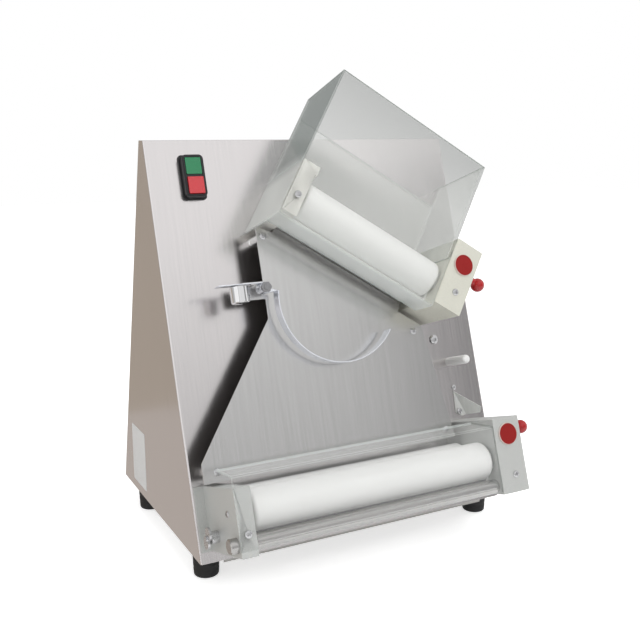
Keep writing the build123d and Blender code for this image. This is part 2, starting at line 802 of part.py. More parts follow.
deflector_rise = 18.0
deflector_foot = ((-51.8, 167.6), (-35.0, 129.5), (-43.0, 128.0), (-54.0, 134.0))
deflector_edge = ((-21.6, 128.4), (-18.0, 137.9))
panel_edge = shifted(front, half_w, 0, 0)
deflector_apex = panel_edge.from_local_coords((*deflector_foot[0], 0))
deflector_heel = panel_edge.from_local_coords((*deflector_foot[1], 0))
deflector_toe = panel_edge.from_local_coords((*deflector_edge[0], deflector_rise))
deflector_tip = panel_edge.from_local_coords((*deflector_edge[1], deflector_rise))
fold = (deflector_heel - deflector_apex).normalized()
flap = Plane(
    origin=deflector_apex,
    x_dir=fold,
    z_dir=fold.cross(deflector_tip - deflector_apex),
)
with BuildPart() as deflector:
    with BuildSketch(panel_edge):
        Polygon(*deflector_foot, align=None)
    extrude(amount=sheet)
    with BuildSketch(flap):
        flap_corners = (deflector_heel, deflector_toe, deflector_tip)
        flat_corners = [flap.to_local_coords(corner) for corner in flap_corners]
        Polygon((0, 0), *[(corner.X, corner.Y) for corner in flat_corners], align=None)
    extrude(amount=sheet)
keep(deflector, "deflector")

# Swing arm: a strip rolled round its pivot, with a flat bar to the left for the counterweight
arm_far_n = arm_n + arm_w
with BuildPart(front) as swing_arm:
    stud(pivot_u, pivot_v, (arm_n, arm_far_n), barrel_r)
    slab((pivot_u - bar_len, pivot_u), (bar_v, bar_v + arm_t), (arm_n, arm_n + bar_w))
    with BuildSketch(shifted(front, 0, 0, arm_n)):
        with BuildLine():
            outside = CenterArc((arm_centre_u, arm_centre_v), arm_r, arm_start, arm_sweep)
            inside = CenterArc((arm_centre_u, arm_centre_v), arm_r - arm_t, arm_start, arm_sweep)
            Line(outside @ 0, inside @ 0)
            Line(outside @ 1, inside @ 1)
        make_face()
        Polygon((pivot_u, pivot_v - barrel_r), (pivot_u, pivot_v), inside @ 0, outside @ 0, align=None)
    extrude(amount=arm_w)
    stud(pivot_u, pivot_v, (arm_n, arm_far_n), pivot_r + fit, mode=Mode.SUBTRACT)
keep(swing_arm, "swing_arm")

with BuildPart(front) as counterweight:
    with Locations((pivot_u - weight_reach, bar_v - weight_h / 2, arm_n + bar_w / 2)):
        Cylinder(weight_r, weight_h, rotation=(90, 0, 0))
    chamfer(counterweight.edges().filter_by(GeomType.CIRCLE), screw_r / 2)
keep(counterweight, "counterweight")

# Pivot bolt: a collar on the ear, the shank that the arm turns on, and a nut at each end
nut_h = 6.0
with BuildPart(front) as arm_pivot_bolt:
    stud(pivot_u, pivot_v, (chute_n - nut_h, arm_far_n + loose + nut_h), pivot_r)
    stud(pivot_u, pivot_v, (chute_face, arm_n - loose), barrel_r)
    with BuildSketch(shifted(front, pivot_u, pivot_v, arm_far_n + loose)):
        RegularPolygon(barrel_r, 6)
    extrude(amount=nut_h - sheet)
    with BuildSketch(shifted(front, pivot_u, pivot_v, chute_n - nut_h)):
        RegularPolygon(barrel_r, 6)
    extrude(amount=nut_h)
keep(arm_pivot_bolt, "arm_pivot_bolt")

# Wing screw in the left face of the lower end plate
wing_len = 17.0
wing_r = 8.0
wing_lean = radians(40)
with BuildPart(lower) as wing_screw:
    rod((lower_left - wing_len, lower_left + wing_in), wing_b, wing_n, wing_screw_r)
    rod((lower_left - 0.6 * wing_len, lower_left), wing_b, wing_n, wing_r)
    for side in (-1, 1):
        wing_at = (
            lower_left - 0.8 * wing_len,
            wing_b + side * wing_r * cos(wing_lean),
            wing_n + side * wing_r * sin(wing_lean),
        )
        with Locations(wing_at):
            Cylinder(wing_r, 2 * sheet, rotation=(0, 90, 0))
keep(wing_screw, "wing_screw")

# Domed screws: two in the front of each head, one in each standoff and three in the front by the deflector
lower_end_x = lower_u + lower_left + end_t / 2
lower_block_x = lower_u + lower_x0 + block_screw_x
guard_screw_n = (face_n - screw_in, face_n + guard_t)
block_screw_n = (block_face - wall, block_face)
panel_screws = ((-72.0, 248.4, 0, 1.5), (-49.7, 172.6, 0, 0.8), (-47.3, 135.8, sheet, 1.0))
screw_spots = [
    (*upper_to_panel(upper_left + end_t / 2, upper_screw_b), guard_screw_n),
    (*upper_to_panel(upper_x0 + block_screw_x, upper_screw_b), block_screw_n),
    (lower_end_x, lower_v + lower_screw_b, guard_screw_n),
    (lower_block_x, lower_v + lower_screw_b, block_screw_n),
]
with BuildPart(front) as front_screws:
    for spot_u, spot_v, shank_n in screw_spots:
        screw_head(spot_u, spot_v, shank_n[1])
        stud(spot_u, spot_v, shank_n, screw_r)
    for spot_u, spot_v in standoff_spots:
        screw_head(spot_u, spot_v, chute_face)
    for edge_u, spot_v, seat_n, size in panel_screws:
        screw_head(half_w + edge_u, spot_v, seat_n, size)
keep(front_screws, "front_screws")

# Everything is set down with its origin under the middle of the whole machine and written out
whole = pieces[0].bounding_box()
for piece in pieces[1:]:
    whole = whole.add(piece.bounding_box())
to_origin = Location((-whole.center().X, -whole.center().Y, -whole.min.Z))
os.makedirs("parts", exist_ok=True)
for piece in pieces:
    placed = piece.moved(to_origin)
    placed.label = piece.label
    export_step(placed, f"parts/{piece.label}.step")
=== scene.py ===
# Two-stage dough sheeter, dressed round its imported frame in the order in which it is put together.
import json
from math import cos, pi, radians, sin

import bmesh
import bpy
from mathutils import Matrix, Vector


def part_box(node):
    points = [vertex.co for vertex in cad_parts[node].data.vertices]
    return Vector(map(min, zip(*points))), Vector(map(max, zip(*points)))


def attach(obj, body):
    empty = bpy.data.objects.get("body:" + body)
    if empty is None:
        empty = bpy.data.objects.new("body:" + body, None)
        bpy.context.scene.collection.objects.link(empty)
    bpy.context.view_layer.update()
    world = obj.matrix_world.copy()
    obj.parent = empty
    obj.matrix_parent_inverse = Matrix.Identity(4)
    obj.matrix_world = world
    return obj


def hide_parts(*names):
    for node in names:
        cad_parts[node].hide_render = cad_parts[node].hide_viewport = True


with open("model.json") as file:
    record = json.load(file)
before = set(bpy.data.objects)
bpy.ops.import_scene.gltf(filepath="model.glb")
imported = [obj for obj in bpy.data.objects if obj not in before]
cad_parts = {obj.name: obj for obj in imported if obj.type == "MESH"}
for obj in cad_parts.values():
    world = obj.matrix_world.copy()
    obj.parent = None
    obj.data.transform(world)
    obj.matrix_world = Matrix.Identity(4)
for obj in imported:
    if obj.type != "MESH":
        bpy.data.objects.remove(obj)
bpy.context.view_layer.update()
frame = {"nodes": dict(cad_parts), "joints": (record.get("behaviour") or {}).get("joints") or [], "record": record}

# Cabinet shell: front, sides and top are one sheet of stainless steel, brushed up and down, folded
# over soft bends and welded at the top corners. Everything else is screwed to it.
body_of = {node: body for body, nodes in frame["record"]["behaviour"]["bodies"].items() for node in nodes}
joints = {joint["name"]: joint for joint in frame["joints"]}
outwards = Vector(joints["lower_worm_spin"]["axis"])
sideways = Vector((1.0, 0.0, 0.0))
upwards = (0.0, 0.0, 1.0)
up_slope = outwards.cross(sideways)
shell_steel = (0.76, 0.73, 0.73)
shell_steel_dark = (0.71, 0.685, 0.685)
up_brushing = (0.0012, 0.09, 0.0012)
weld_gap = 2e-6
flat_within = radians(0.5)
sharp_from = radians(30.0)
noise_detail = 4.0
noise_span = (0.3, 0.7)
bump_strength = 0.4


def linked(name, mesh):
    """A new object in the scene with that mesh."""
    piece = bpy.data.objects.new(name, mesh)
    bpy.context.scene.collection.objects.link(piece)
    return piece


def smoothed(mesh, crease=35.0):
    """Smooth shading that stays sharp where faces meet at more than the crease angle."""
    mesh.shade_smooth()
    mesh.set_sharp_from_angle(angle=radians(crease))


def copied(node, soften=0.0005, rings=2, faceted=False):
    """A new object with a CAD node's shape. With any softening its flat faces are made whole and its sharp
    edges broken by that radius. A faceted copy is shaded face by face."""
    mesh = frame["nodes"][node].data.copy()
    mesh.materials.clear()
    if "custom_normal" in mesh.attributes:
        mesh.attributes.remove(mesh.attributes["custom_normal"])
    form = bmesh.new()
    form.from_mesh(mesh)
    bmesh.ops.remove_doubles(form, verts=form.verts, dist=weld_gap)
    if soften:
        bmesh.ops.dissolve_limit(form, angle_limit=flat_within, verts=form.verts, edges=form.edges)
    form.to_mesh(mesh)
    form.free()
    for face in mesh.polygons:
        face.use_smooth = not faceted
    piece = linked(node + "_piece", mesh)
    if soften:
        rounding = piece.modifiers.new("broken_edges", "BEVEL")
        rounding.width = soften
        rounding.segments = rings
        rounding.limit_method = "ANGLE"
        rounding.angle_limit = sharp_from
        rounding.miter_outer = "MITER_ARC"
    if not faceted:
        shading = piece.modifiers.new("flat_faces", "WEIGHTED_NORMAL")
        shading.keep_sharp = False
        shading.weight = 100
    return piece


def new_finish(name):
    """A new material, with its nodes, its links and its main shader."""
    finish = bpy.data.materials.new(name)
    finish.use_nodes = True
    tree = finish.node_tree
    return finish, tree.nodes, tree.links, tree.nodes["Principled BSDF"]


def added(nodes, kind, **values):
    """A new shader node with values on the sockets of those names, which have spaces for underscores."""
    node = nodes.new("ShaderNode" + kind)
    for socket, value in values.items():
        node.inputs[socket.replace("_", " ")].default_value = value
    return node


def grained(name, pale, dark, roughness, grain, relief, metal=0.0, lie=sideways):
    """A finish whose colour, roughness and relief follow one noise. The grain's three sizes, in metres, run
    along the lie, across it on the front, and outwards."""
    finish, nodes, links, shader = new_finish(name)
    shader.inputs["Metallic"].default_value = metal
    place = added(nodes, "TexCoord")
    turn = Matrix((lie, outwards.cross(lie), outwards)).transposed()
    squeeze = added(nodes, "Mapping", Rotation=turn.to_euler(), Scale=grain)
    squeeze.vector_type = "TEXTURE"
    noise = added(nodes, "TexNoise", Scale=1.0, Detail=noise_detail)
    tone = added(nodes, "ValToRGB")
    for stop, position, colour in zip(tone.color_ramp.elements, noise_span, (dark, pale)):
        stop.position = position
        stop.color = (*colour, 1.0)
    gloss = added(nodes, "MapRange", From_Min=noise_span[0], From_Max=noise_span[1])
    gloss.inputs["To Min"].default_value = roughness[0]
    gloss.inputs["To Max"].default_value = roughness[1]
    bump = added(nodes, "Bump", Strength=bump_strength, Distance=relief)
    links.new(place.outputs["Object"], squeeze.inputs["Vector"])
    links.new(squeeze.outputs["Vector"], noise.inputs["Vector"])
    links.new(noise.outputs["Fac"], tone.inputs["Fac"])
    links.new(noise.outputs["Fac"], gloss.inputs["Value"])
    links.new(noise.outputs["Fac"], bump.inputs["Height"])
    links.new(tone.outputs["Color"], shader.inputs["Base Color"])
    links.new(gloss.outputs["Result"], shader.inputs["Roughness"])
    links.new(bump.outputs["Normal"], shader.inputs["Normal"])
    return finish


def fitted(piece, slot, finish, *nodes):
    """Gives a piece its finish and puts it on the body of the CAD nodes that it stands for."""
    piece.data.materials.append(finish)
    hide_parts(*nodes)
    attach(piece, body_of[nodes[0]])
    return piece


def dressed(node, slot, finish, **edges):
    """A fitted copy of a CAD node."""
    return fitted(copied(node, **edges), slot, finish, node)


brushed_shell = grained(
    "brushed_shell", shell_steel, shell_steel_dark,
    roughness=(0.17, 0.24), grain=up_brushing, relief=0.000004, metal=1.0,
)
dressed("cabinet_shell", "steel_sheet", brushed_shell, soften=0.0004)

# Back panel: a flat stainless cover on the shell's return flanges, held by six domed screws, with a
# black moulded gland for the supply low down on one side.
screw_steel = (0.66, 0.66, 0.67)
screw_steel_dark = (0.50, 0.50, 0.51)
black_moulding = (0.018, 0.018, 0.020)
black_moulding_dark = (0.010, 0.010, 0.011)
fine = (0.0008, 0.0008, 0.0008)
moulded_grain = (0.0006, 0.0006, 0.0006)
seam_gap = 1e-6
dome_foot = 0.97
dome_lip = 0.12
dome_lean = 8.0
dome_steps = 8
recess_long = 1.15
recess_wide = 0.24
screw_roll = 37.0


def islands(node, axis):
    """Foot point, length and radius of each separate solid in a CAD node, measured along an axis."""
    along = Vector(axis).normalized()
    across = along.orthogonal().normalized()
    aside = along.cross(across)
    form = bmesh.new()
    form.from_mesh(frame["nodes"][node].data)
    bmesh.ops.remove_doubles(form, verts=form.verts, dist=weld_gap)
    left = set(form.verts)
    found = []
    while left:
        group = [left.pop()]
        for vert in group:
            for edge in vert.link_edges:
                other = edge.other_vert(vert)
                if other in left:
                    left.remove(other)
                    group.append(other)
        extents = []
        for way in (along, across, aside):
            offsets = [vert.co.dot(way) for vert in group]
            extents.append((min(offsets), max(offsets)))
        (low, high), (left_end, right_end), depth = extents
        middle = across * ((left_end + right_end) / 2) + aside * (sum(depth) / 2)
        found.append((middle + along * low, high - low, (right_end - left_end) / 2))
    form.free()
    return sorted(found, key=lambda solid: tuple(round(number, 4) for number in solid[0]))


def turned(name, outline, foot, axis, sides=64):
    """A new object spun about an axis from points of (distance along it from the foot, radius)."""
    along = Vector(axis).normalized()
    out = along.orthogonal().normalized()
    form = bmesh.new()
    rim = [form.verts.new(Vector(foot) + along * distance + out * radius) for distance, radius in outline]
    seam = [form.edges.new(pair) for pair in zip(rim, rim[1:])]
    bmesh.ops.spin(form, geom=rim + seam, cent=foot, axis=along, angle=2 * pi, steps=sides, use_merge=True)
    bmesh.ops.remove_doubles(form, verts=form.verts, dist=seam_gap)
    bmesh.ops.recalc_face_normals(form, faces=form.faces)
    mesh = bpy.data.meshes.new(name)
    form.to_mesh(mesh)
    form.free()
    smoothed(mesh)
    return linked(name, mesh)


def quarter(middle, radius, start, count=6):
    """Points of a quarter round of an outline, from an angle in degrees onwards, clockwise."""
    turns = [radians(start - 90.0 * step / count) for step in range(count + 1)]
    return [(middle[0] + radius * cos(turn), middle[1] + radius * sin(turn)) for turn in turns]


def domed_head(radius, height, crossed=True):
    """Mesh of a low domed head on z 0, its underside closed, with a cross recess unless it is a nut."""
    dome = [(0.0, 0.0), (0.0, radius * dome_foot), (height * dome_lip, radius)]
    for step in range(dome_steps + 1):
        lean = radians(dome_lean + (90.0 - dome_lean) * step / dome_steps)
        rise = height * (dome_lip + (1.0 - dome_lip) * sin(lean))
        dome.append((rise, radius * cos(lean) if step < dome_steps else 0.0))
    head = turned("domed_head", dome, (0.0, 0.0, 0.0), upwards, sides=32)
    if not crossed:
        mesh = head.data.copy()
        bpy.data.objects.remove(head)
        return mesh
    form = bmesh.new()
    for turn in (0.0, 90.0):
        wing = Matrix.Diagonal((recess_long * radius, recess_wide * radius, height, 1.0))
        turned_wing = Matrix.Rotation(radians(turn), 4, "Z") @ wing
        bmesh.ops.create_cube(form, matrix=Matrix.Translation((0.0, 0.0, height)) @ turned_wing)
    cutter = linked("cross_cutter", bpy.data.meshes.new("cross_cutter"))
    form.to_mesh(cutter.data)
    form.free()
    recess = head.modifiers.new("recess", "BOOLEAN")
    recess.object = cutter
    recess.operation = "DIFFERENCE"
    recess.use_self = True
    bpy.context.view_layer.update()
    seen = head.evaluated_get(bpy.context.evaluated_depsgraph_get())
    mesh = bpy.data.meshes.new_from_object(seen)
    bpy.data.objects.remove(head)
    bpy.data.objects.remove(cutter)
    return mesh


def planted(name, heads, axis):
    """One object of copies of meshes that point along z, each set on its spot with its z along an axis."""
    turn = Vector(upwards).rotation_difference(Vector(axis)).to_matrix().to_4x4()
    form = bmesh.new()
    for number, (mesh, spot) in enumerate(heads):
        part = mesh.copy()
        roll = Matrix.Rotation(radians(screw_roll * number), 4, "Z")
        part.transform(Matrix.Translation(spot) @ turn @ roll)
        form.from_mesh(part)
        bpy.data.meshes.remove(part)
    whole = bpy.data.meshes.new(name)
    form.to_mesh(whole)
    form.free()
    smoothed(whole, crease=30.0)
    return linked(name, whole)


def wide_face(node):
    """The outward normal of a CAD node's widest flat, towards the back."""
    faces = frame["nodes"][node].data.polygons
    normal = max(faces, key=lambda face: face.area).normal.copy()
    return normal if normal.y > 0 else -normal


bright_screw = grained(
    "bright_screw", screw_steel, screw_steel_dark,
    roughness=(0.2, 0.32), grain=fine, relief=0.00001, metal=1.0,
)
black_plastic = grained(
    "black_plastic", black_moulding, black_moulding_dark,
    roughness=(0.34, 0.5), grain=moulded_grain, relief=0.00003,
)
dressed("back_panel", "steel_sheet", brushed_shell)
backwards = wide_face("back_panel")
back_screws = islands("back_panel_screws", backwards)
back_head = domed_head(back_screws[0][2], back_screws[0][1])
back_heads = planted("back_panel_screw_heads", [(back_head, solid[0]) for solid in back_screws], backwards)
fitted(back_heads, "steel", bright_screw, "back_panel_screws")
dressed("cable_gland", "black_plastic", black_plastic, soften=0.0008)

# Base and feet: a plain stainless floor, and four black rubber feet, moulded with shallow ribs and a
# recess below for the screw that holds each one.
floor_steel = (0.46, 0.45, 0.43)
floor_steel_dark = (0.40, 0.39, 0.375)
rubber = (0.020, 0.020, 0.021)
rubber_dark = (0.012, 0.012, 0.012)
rubber_grain = (0.0011, 0.0011, 0.0011)
rib_count = 3
rib_shape = (0.1, 0.75, 0.82, 0.95)
rib_swell = 0.0003
rib_depth = 0.0003
recess_depth = 0.012
recess_radius = 0.009
foot_bore = 0.0031
foot_round = 0.0022
foot_taper = 0.93
foot_flare = 0.05
foot_top = (0.985, 0.96)


def gathered(name, pieces, crease=35.0):
    """One object made of several."""
    form = bmesh.new()
    for piece in pieces:
        form.from_mesh(piece.data)
        bpy.data.objects.remove(piece)
    mesh = bpy.data.meshes.new(name)
    form.to_mesh(mesh)
    form.free()
    smoothed(mesh, crease)
    return linked(name, mesh)


dull_rubber = grained(
    "dull_rubber", rubber, rubber_dark, roughness=(0.55, 0.75), grain=rubber_grain, relief=0.00006
)
dull_sheet = grained(
    "dull_sheet", floor_steel, floor_steel_dark,
    roughness=(0.35, 0.5), grain=up_brushing, relief=0.000004, metal=0.6,
)
dressed("base_plate", "steel_sheet", dull_sheet)
feet = []
for foot, length, radius in islands("rubber_feet", upwards):
    outline = [(recess_depth, foot_bore), (recess_depth, recess_radius), (0.0, recess_radius)]
    outline += quarter((foot_round, foot_taper * radius - foot_round), foot_round, 180.0)
    rib_span = (length - 3 * foot_round) / rib_count
    for rib in range(rib_count):
        start = 1.5 * foot_round + rib * rib_span
        side = radius * (foot_taper + foot_flare * (rib + 0.5) / rib_count)
        widths = (side, side + rib_swell, side - rib_depth, side - rib_depth)
        outline += [(start + share * rib_span, width) for share, width in zip(rib_shape, widths)]
    outline += [(length - foot_round, foot_top[0] * radius), (length, foot_top[1] * radius)]
    outline += [(length, foot_bore), outline[0]]
    feet.append(turned("one_foot", outline, foot, upwards, sides=48))
fitted(gathered("rubber_feet_set", feet, crease=50.0), "rubber", dull_rubber, "rubber_feet")
dressed("foot_screws", "steel", bright_screw, soften=0.0003)

# Switch: a black moulded box on a thin base flange, with a raised frame round two push buttons of
# glossy plastic, green to start above and a prouder red one to stop below.
flange_overhang = 0.0022
flange_thick = 0.0026
flange_round = 0.005
frame_margin = 0.0016
frame_rise = 0.0009
frame_sunk = 0.001
frame_round = 0.0045
button_gap = 0.0005
moulded_edge = 0.0005
moulded_rings = 3
corner_steps = 6
button_coat = 0.3
button_grain = (0.001, 0.001, 0.001)
start_green = (0.010, 0.22, 0.085)
start_green_dark = (0.008, 0.19, 0.07)
stop_red = (0.62, 0.035, 0.045)
stop_red_dark = (0.54, 0.028, 0.036)


def spans(node):
    """Lowest and highest reach of a CAD node across the front, up its slope and outwards from it."""
    verts = frame["nodes"][node].data.vertices
    ranges = []
    for way in (sideways, up_slope, outwards):
        offsets = [vert.co.dot(way) for vert in verts]
        ranges.append((min(offsets), max(offsets)))
    return ranges


def widened(span, margin):
    """A span made longer by a margin at both ends."""
    return span[0] - margin, span[1] + margin


def rounded_rim(form, across, up, bend, spot):
    """New vertices round a rectangle with rounded corners, each set in space by the spot function."""
    left, right = widened(across, -bend)
    low, high = widened(up, -bend)
    rim = []
    for number, (x, y) in enumerate(((right, high), (left, high), (left, low), (right, low))):
        for step in range(corner_steps + 1):
            turn = radians(90.0 * number + 90.0 * step / corner_steps)
            rim.append(form.verts.new(spot(x + bend * cos(turn), y + bend * sin(turn))))
    return rim


def thickened(name, form, faces, lift):
    """A new object from flat faces that are given a thickness."""
    raised = bmesh.ops.extrude_face_region(form, geom=faces)["geom"]
    verts = [item for item in raised if isinstance(item, bmesh.types.BMVert)]
    bmesh.ops.translate(form, verts=verts, vec=lift)
    bmesh.ops.recalc_face_normals(form, faces=form.faces)
    mesh = bpy.data.meshes.new(name)
    form.to_mesh(mesh)
    form.free()
    return linked(name, mesh)


def rounded_box(name, across, up, out, bend, hole=None):
    """A block with rounded corners that lies on the front, open through the middle if a hole is given."""
    def on_front(x, y):
        return sideways * x + up_slope * y + outwards * out[0]

    form = bmesh.new()
    outer = rounded_rim(form, across, up, bend, on_front)
    if hole:
        inner = rounded_rim(form, *hole, bend / 2, on_front)
        rings = zip(outer, outer[1:] + outer[:1], inner[1:] + inner[:1], inner)
        faces = [form.faces.new(ring) for ring in rings]
    else:
        faces = [form.faces.new(outer)]
    piece = thickened(name, form, faces, outwards * (out[1] - out[0]))
    piece.data.shade_smooth()
    rounding = piece.modifiers.new("broken_edges", "BEVEL")
    rounding.width = moulded_edge
    rounding.segments = moulded_rings
    rounding.limit_method = "ANGLE"
    piece.modifiers.new("flat_faces", "WEIGHTED_NORMAL")
    return piece


def carried(piece, finish):
    """Gives the cabinet a small piece that stands for no CAD node."""
    piece.data.materials.append(finish)
    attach(piece, "cabinet")


def tuned(finish, socket, value):
    """Sets one value of a finish's main shader."""
    finish.node_tree.nodes["Principled BSDF"].inputs[socket].default_value = value


box_across, box_up, box_out = spans("switch_box")
dressed("switch_box", "black_plastic", black_plastic, soften=0.001, rings=4)
flange_sides = [widened(span, flange_overhang) for span in (box_across, box_up)]
flange_out = (box_out[0], box_out[0] + flange_thick)
flange = rounded_box("switch_flange", *flange_sides, flange_out, flange_round)
carried(flange, black_plastic)
start_across, start_up = spans("start_button")[:2]
stop_up = spans("stop_button")[1]
surround_sides = [widened(span, -frame_margin) for span in (box_across, box_up)]
surround_out = (box_out[1] - frame_sunk, box_out[1] + frame_rise)
opening = [widened(span, button_gap) for span in (start_across, (stop_up[0], start_up[1]))]
surround = rounded_box("switch_surround", *surround_sides, surround_out, frame_round, hole=opening)
carried(surround, black_plastic)
button_finishes = (
    ("start_button", "green_gloss", start_green, start_green_dark),
    ("stop_button", "red_gloss", stop_red, stop_red_dark),
)
for node, slot, pale, dark in button_finishes:
    gloss_plastic = grained(
        node + "_plastic", pale, dark, roughness=(0.2, 0.3), grain=button_grain, relief=0.00001
    )
    tuned(gloss_plastic, "Coat Weight", button_coat)
    dressed(node, slot, gloss_plastic, soften=0.0009, rings=4)

# Roller heads: cast end pieces screwed to the front carry two white rollers on steel shafts, geared
# together. A lever with a sprung red ball knob moves the front roller's bearings to set the gap.
cast_cream = (0.71, 0.705, 0.62)
cast_cream_dark = (0.63, 0.625, 0.55)
plate_grey = (0.63, 0.64, 0.62)
plate_grey_dark = (0.55, 0.56, 0.545)
end_cream = (0.77, 0.765, 0.72)
end_cream_dark = (0.70, 0.695, 0.65)
roller_white = (0.865, 0.865, 0.85)
roller_white_dark = (0.835, 0.835, 0.82)
blade_steel = (0.80, 0.81, 0.79)
blade_steel_dark = (0.74, 0.75, 0.73)
turned_steel = (0.62, 0.62, 0.63)
turned_steel_dark = (0.50, 0.50, 0.51)
bronze = (0.52, 0.34, 0.15)
bronze_dark = (0.42, 0.26, 0.11)
lever_alloy = (0.66, 0.66, 0.65)
lever_alloy_dark = (0.58, 0.58, 0.575)
ball_red = (0.46, 0.006, 0.009)
ball_red_dark = (0.40, 0.005, 0.008)
ball_grain = (0.003, 0.003, 0.003)
ball_coat = 0.25
cast_grain = (0.0016, 0.0016, 0.0016)
turning_marks = (0.0009, 0.03, 0.03)
shaft_chamfer = 0.0008
roller_round = 0.006
end_lip = 0.0007
end_dish = (0.55, 0.6)
pin = 0.0030
collar = 0.0055
collar_length = 0.006
collar_chamfer = 0.0006
ball_from = 145.0
ball_steps = 24
paint_line = 0.0002
cast_alloy = grained(
    "cast_alloy", cast_cream, cast_cream_dark,
    roughness=(0.42, 0.58), grain=cast_grain, relief=0.00004, metal=0.25,
)
cast_plate = grained(
    "cast_plate", plate_grey, plate_grey_dark,
    roughness=(0.36, 0.5), grain=cast_grain, relief=0.00003, metal=0.4,
)
cast_end = grained(
    "cast_end", end_cream, end_cream_dark,
    roughness=(0.42, 0.58), grain=cast_grain, relief=0.00004, metal=0.2,
)
machined_steel = grained(
    "machined_steel", turned_steel, turned_steel_dark,
    roughness=(0.2, 0.34), grain=fine, relief=0.00001, metal=1.0,
)
pale_blade = grained(
    "pale_blade", blade_steel, blade_steel_dark,
    roughness=(0.3, 0.4), grain=fine, relief=0.00001, metal=0.3,
)
block_plastic = grained(
    "block_plastic", roller_white, roller_white_dark,
    roughness=(0.4, 0.5), grain=cast_grain, relief=0.00001,
)
wheel_bronze = grained(
    "wheel_bronze", bronze, bronze_dark, roughness=(0.28, 0.42), grain=fine, relief=0.00001, metal=1.0
)
satin_alloy = grained(
    "satin_alloy", lever_alloy, lever_alloy_dark,
    roughness=(0.3, 0.42), grain=fine, relief=0.00002, metal=0.9,
)
gloss_ball = grained(
    "gloss_ball", ball_red, ball_red_dark, roughness=(0.1, 0.16), grain=ball_grain, relief=0.000005
)
tuned(gloss_ball, "Coat Weight", ball_coat)


def spin_line(joint):
    """A point on a joint's axis, and the axis."""
    return Vector(joints[joint]["pos_m"]), Vector(joints[joint]["axis"]).normalized()


def reach(node, point, axis):
    """How far a CAD node lies along an axis from a point, and its largest radius about it."""
    near = [vert.co - point for vert in frame["nodes"][node].data.vertices]
    along = [gap.dot(axis) for gap in near]
    radius = max((gap - axis * gap.dot(axis)).length for gap in near)
    return min(along), max(along), radius


def chamfered_rod(start, end, radius, edge):
    """Outline of a solid rod with a small chamfer at each end."""
    near_end = [(start, 0.0), (start, radius - edge), (start + edge, radius)]
    return near_end + [(end - edge, radius), (end, radius - edge), (end, 0.0)]


for head in ("upper", "lower"):
    roller_line = Vector(joints[f"{head}_rear_spin"]["axis"])
    white_roller = grained(
        f"{head}_white_roller", roller_white, roller_white_dark,
        roughness=(0.34, 0.44), grain=turning_marks, relief=0.00001, lie=roller_line,
    )
    block_finish, end_finish = (cast_alloy, cast_end) if head == "upper" else (cast_plate, cast_plate)
    blade_finish = pale_blade if head == "upper" else machined_steel
    dressed(f"{head}_gear_block", "cast", block_finish, soften=0.0008, rings=3)
    dressed(f"{head}_end_plate", "cast", end_finish, soften=0.0, faceted=True)
    dressed(f"{head}_bearing_blocks", "roller", block_plastic, soften=0.0003)
    dressed(f"{head}_scraper", "steel", blade_finish, soften=0.0003)
    for place in ("front", "rear"):
        point, axis = spin_line(f"{head}_{place}_spin")
        name = f"{head}_{place}_roller"
        start, end, radius = reach(name, point, axis)
        bore = reach(f"{head}_{place}_shaft", point, axis)[2]
        inner, outer = (share * radius for share in end_dish)
        outline = [(start + end_lip, bore), (start + end_lip, inner), (start, outer)]
        outline += quarter((start + roller_round, radius - roller_round), roller_round, 180.0, count=8)
        outline += quarter((end - roller_round, radius - roller_round), roller_round, 90.0, count=8)
        outline += [(end, outer), (end - end_lip, inner), (end - end_lip, bore)]
        outline.append(outline[0])
        fitted(turned(name + "_piece", outline, point, axis, sides=128), "roller", white_roller, name)
        name = f"{head}_{place}_shaft"
        start, end, radius = reach(name, point, axis)
        rod = chamfered_rod(start, end, radius, shaft_chamfer)
        fitted(turned(name + "_piece", rod, point, axis, sides=48), "steel", machined_steel, name)
        dressed(f"{head}_{place}_gear", "steel", machined_steel, soften=0.00015)
    dressed(f"{head}_worm_wheel", "bronze", wheel_bronze, soften=0.0003)
    dressed(f"{head}_worm_shaft", "steel", machined_steel, soften=0.0003)
    dressed(f"{head}_worm_pulley", "light_alloy", satin_alloy, soften=0.0004)
    dressed(f"{head}_lever", "light_alloy", satin_alloy, soften=0.0008, rings=3)
    name = f"{head}_knob"
    pull = Vector(joints[f"{head}_knob_pull"]["axis"])
    foot, length, ball = islands(name, pull)[0]
    ball_middle = length - ball
    collar_start = ball_middle - ball - collar_length
    outline = [(0.0, 0.0), (0.0, pin - collar_chamfer), (collar_chamfer, pin), (collar_start, pin)]
    outline += [(collar_start, collar - collar_chamfer), (collar_start + collar_chamfer, collar)]
    for step in range(ball_steps + 1):
        turn = radians(ball_from - ball_from * step / ball_steps)
        outline.append((ball_middle + ball * cos(turn), ball * sin(turn) if step < ball_steps else 0.0))
    knob = fitted(turned(name + "_piece", outline, foot, pull, sides=48), "red_gloss", gloss_ball, name)
    knob.data.materials.append(machined_steel)
    for face in knob.data.polygons:
        if (face.center - foot).dot(pull) < collar_start - paint_line:
            face.material_index = 1

# Clear covers: the hopper over the upper rollers and the guard over the lower ones are glued from
# sheets of clear acrylic, polished on their faces and darker green where a cut edge shows.
hopper_tint = (0.72, 0.74, 0.71)
# The hopper's walls darken towards the top: painted shade for the darker inside and reflections seen through them.
hopper_painted_shade_top = (0.29, 0.32, 0.29)
hopper_alpha = (0.09, 0.42)
hopper_change = (0.095, 0.18)
hopper_edge = (0.31, 0.37, 0.33)
hopper_edge_dark = (0.25, 0.31, 0.27)
# The covers' back walls and right ends are paler and less clear: painted light on the shaded front seen behind
# them.
hopper_back_painted_light_tint = (0.85, 0.87, 0.84)
hopper_back_painted_light_alpha = (0.2, 0.5)
back_reach = 0.01
cover_round = (0.0009, 0.0005)
guard_tint = (0.85, 0.87, 0.86)
guard_alpha = (0.004, 0.7)
guard_edge = (0.72, 0.78, 0.75)
guard_edge_dark = (0.66, 0.72, 0.69)
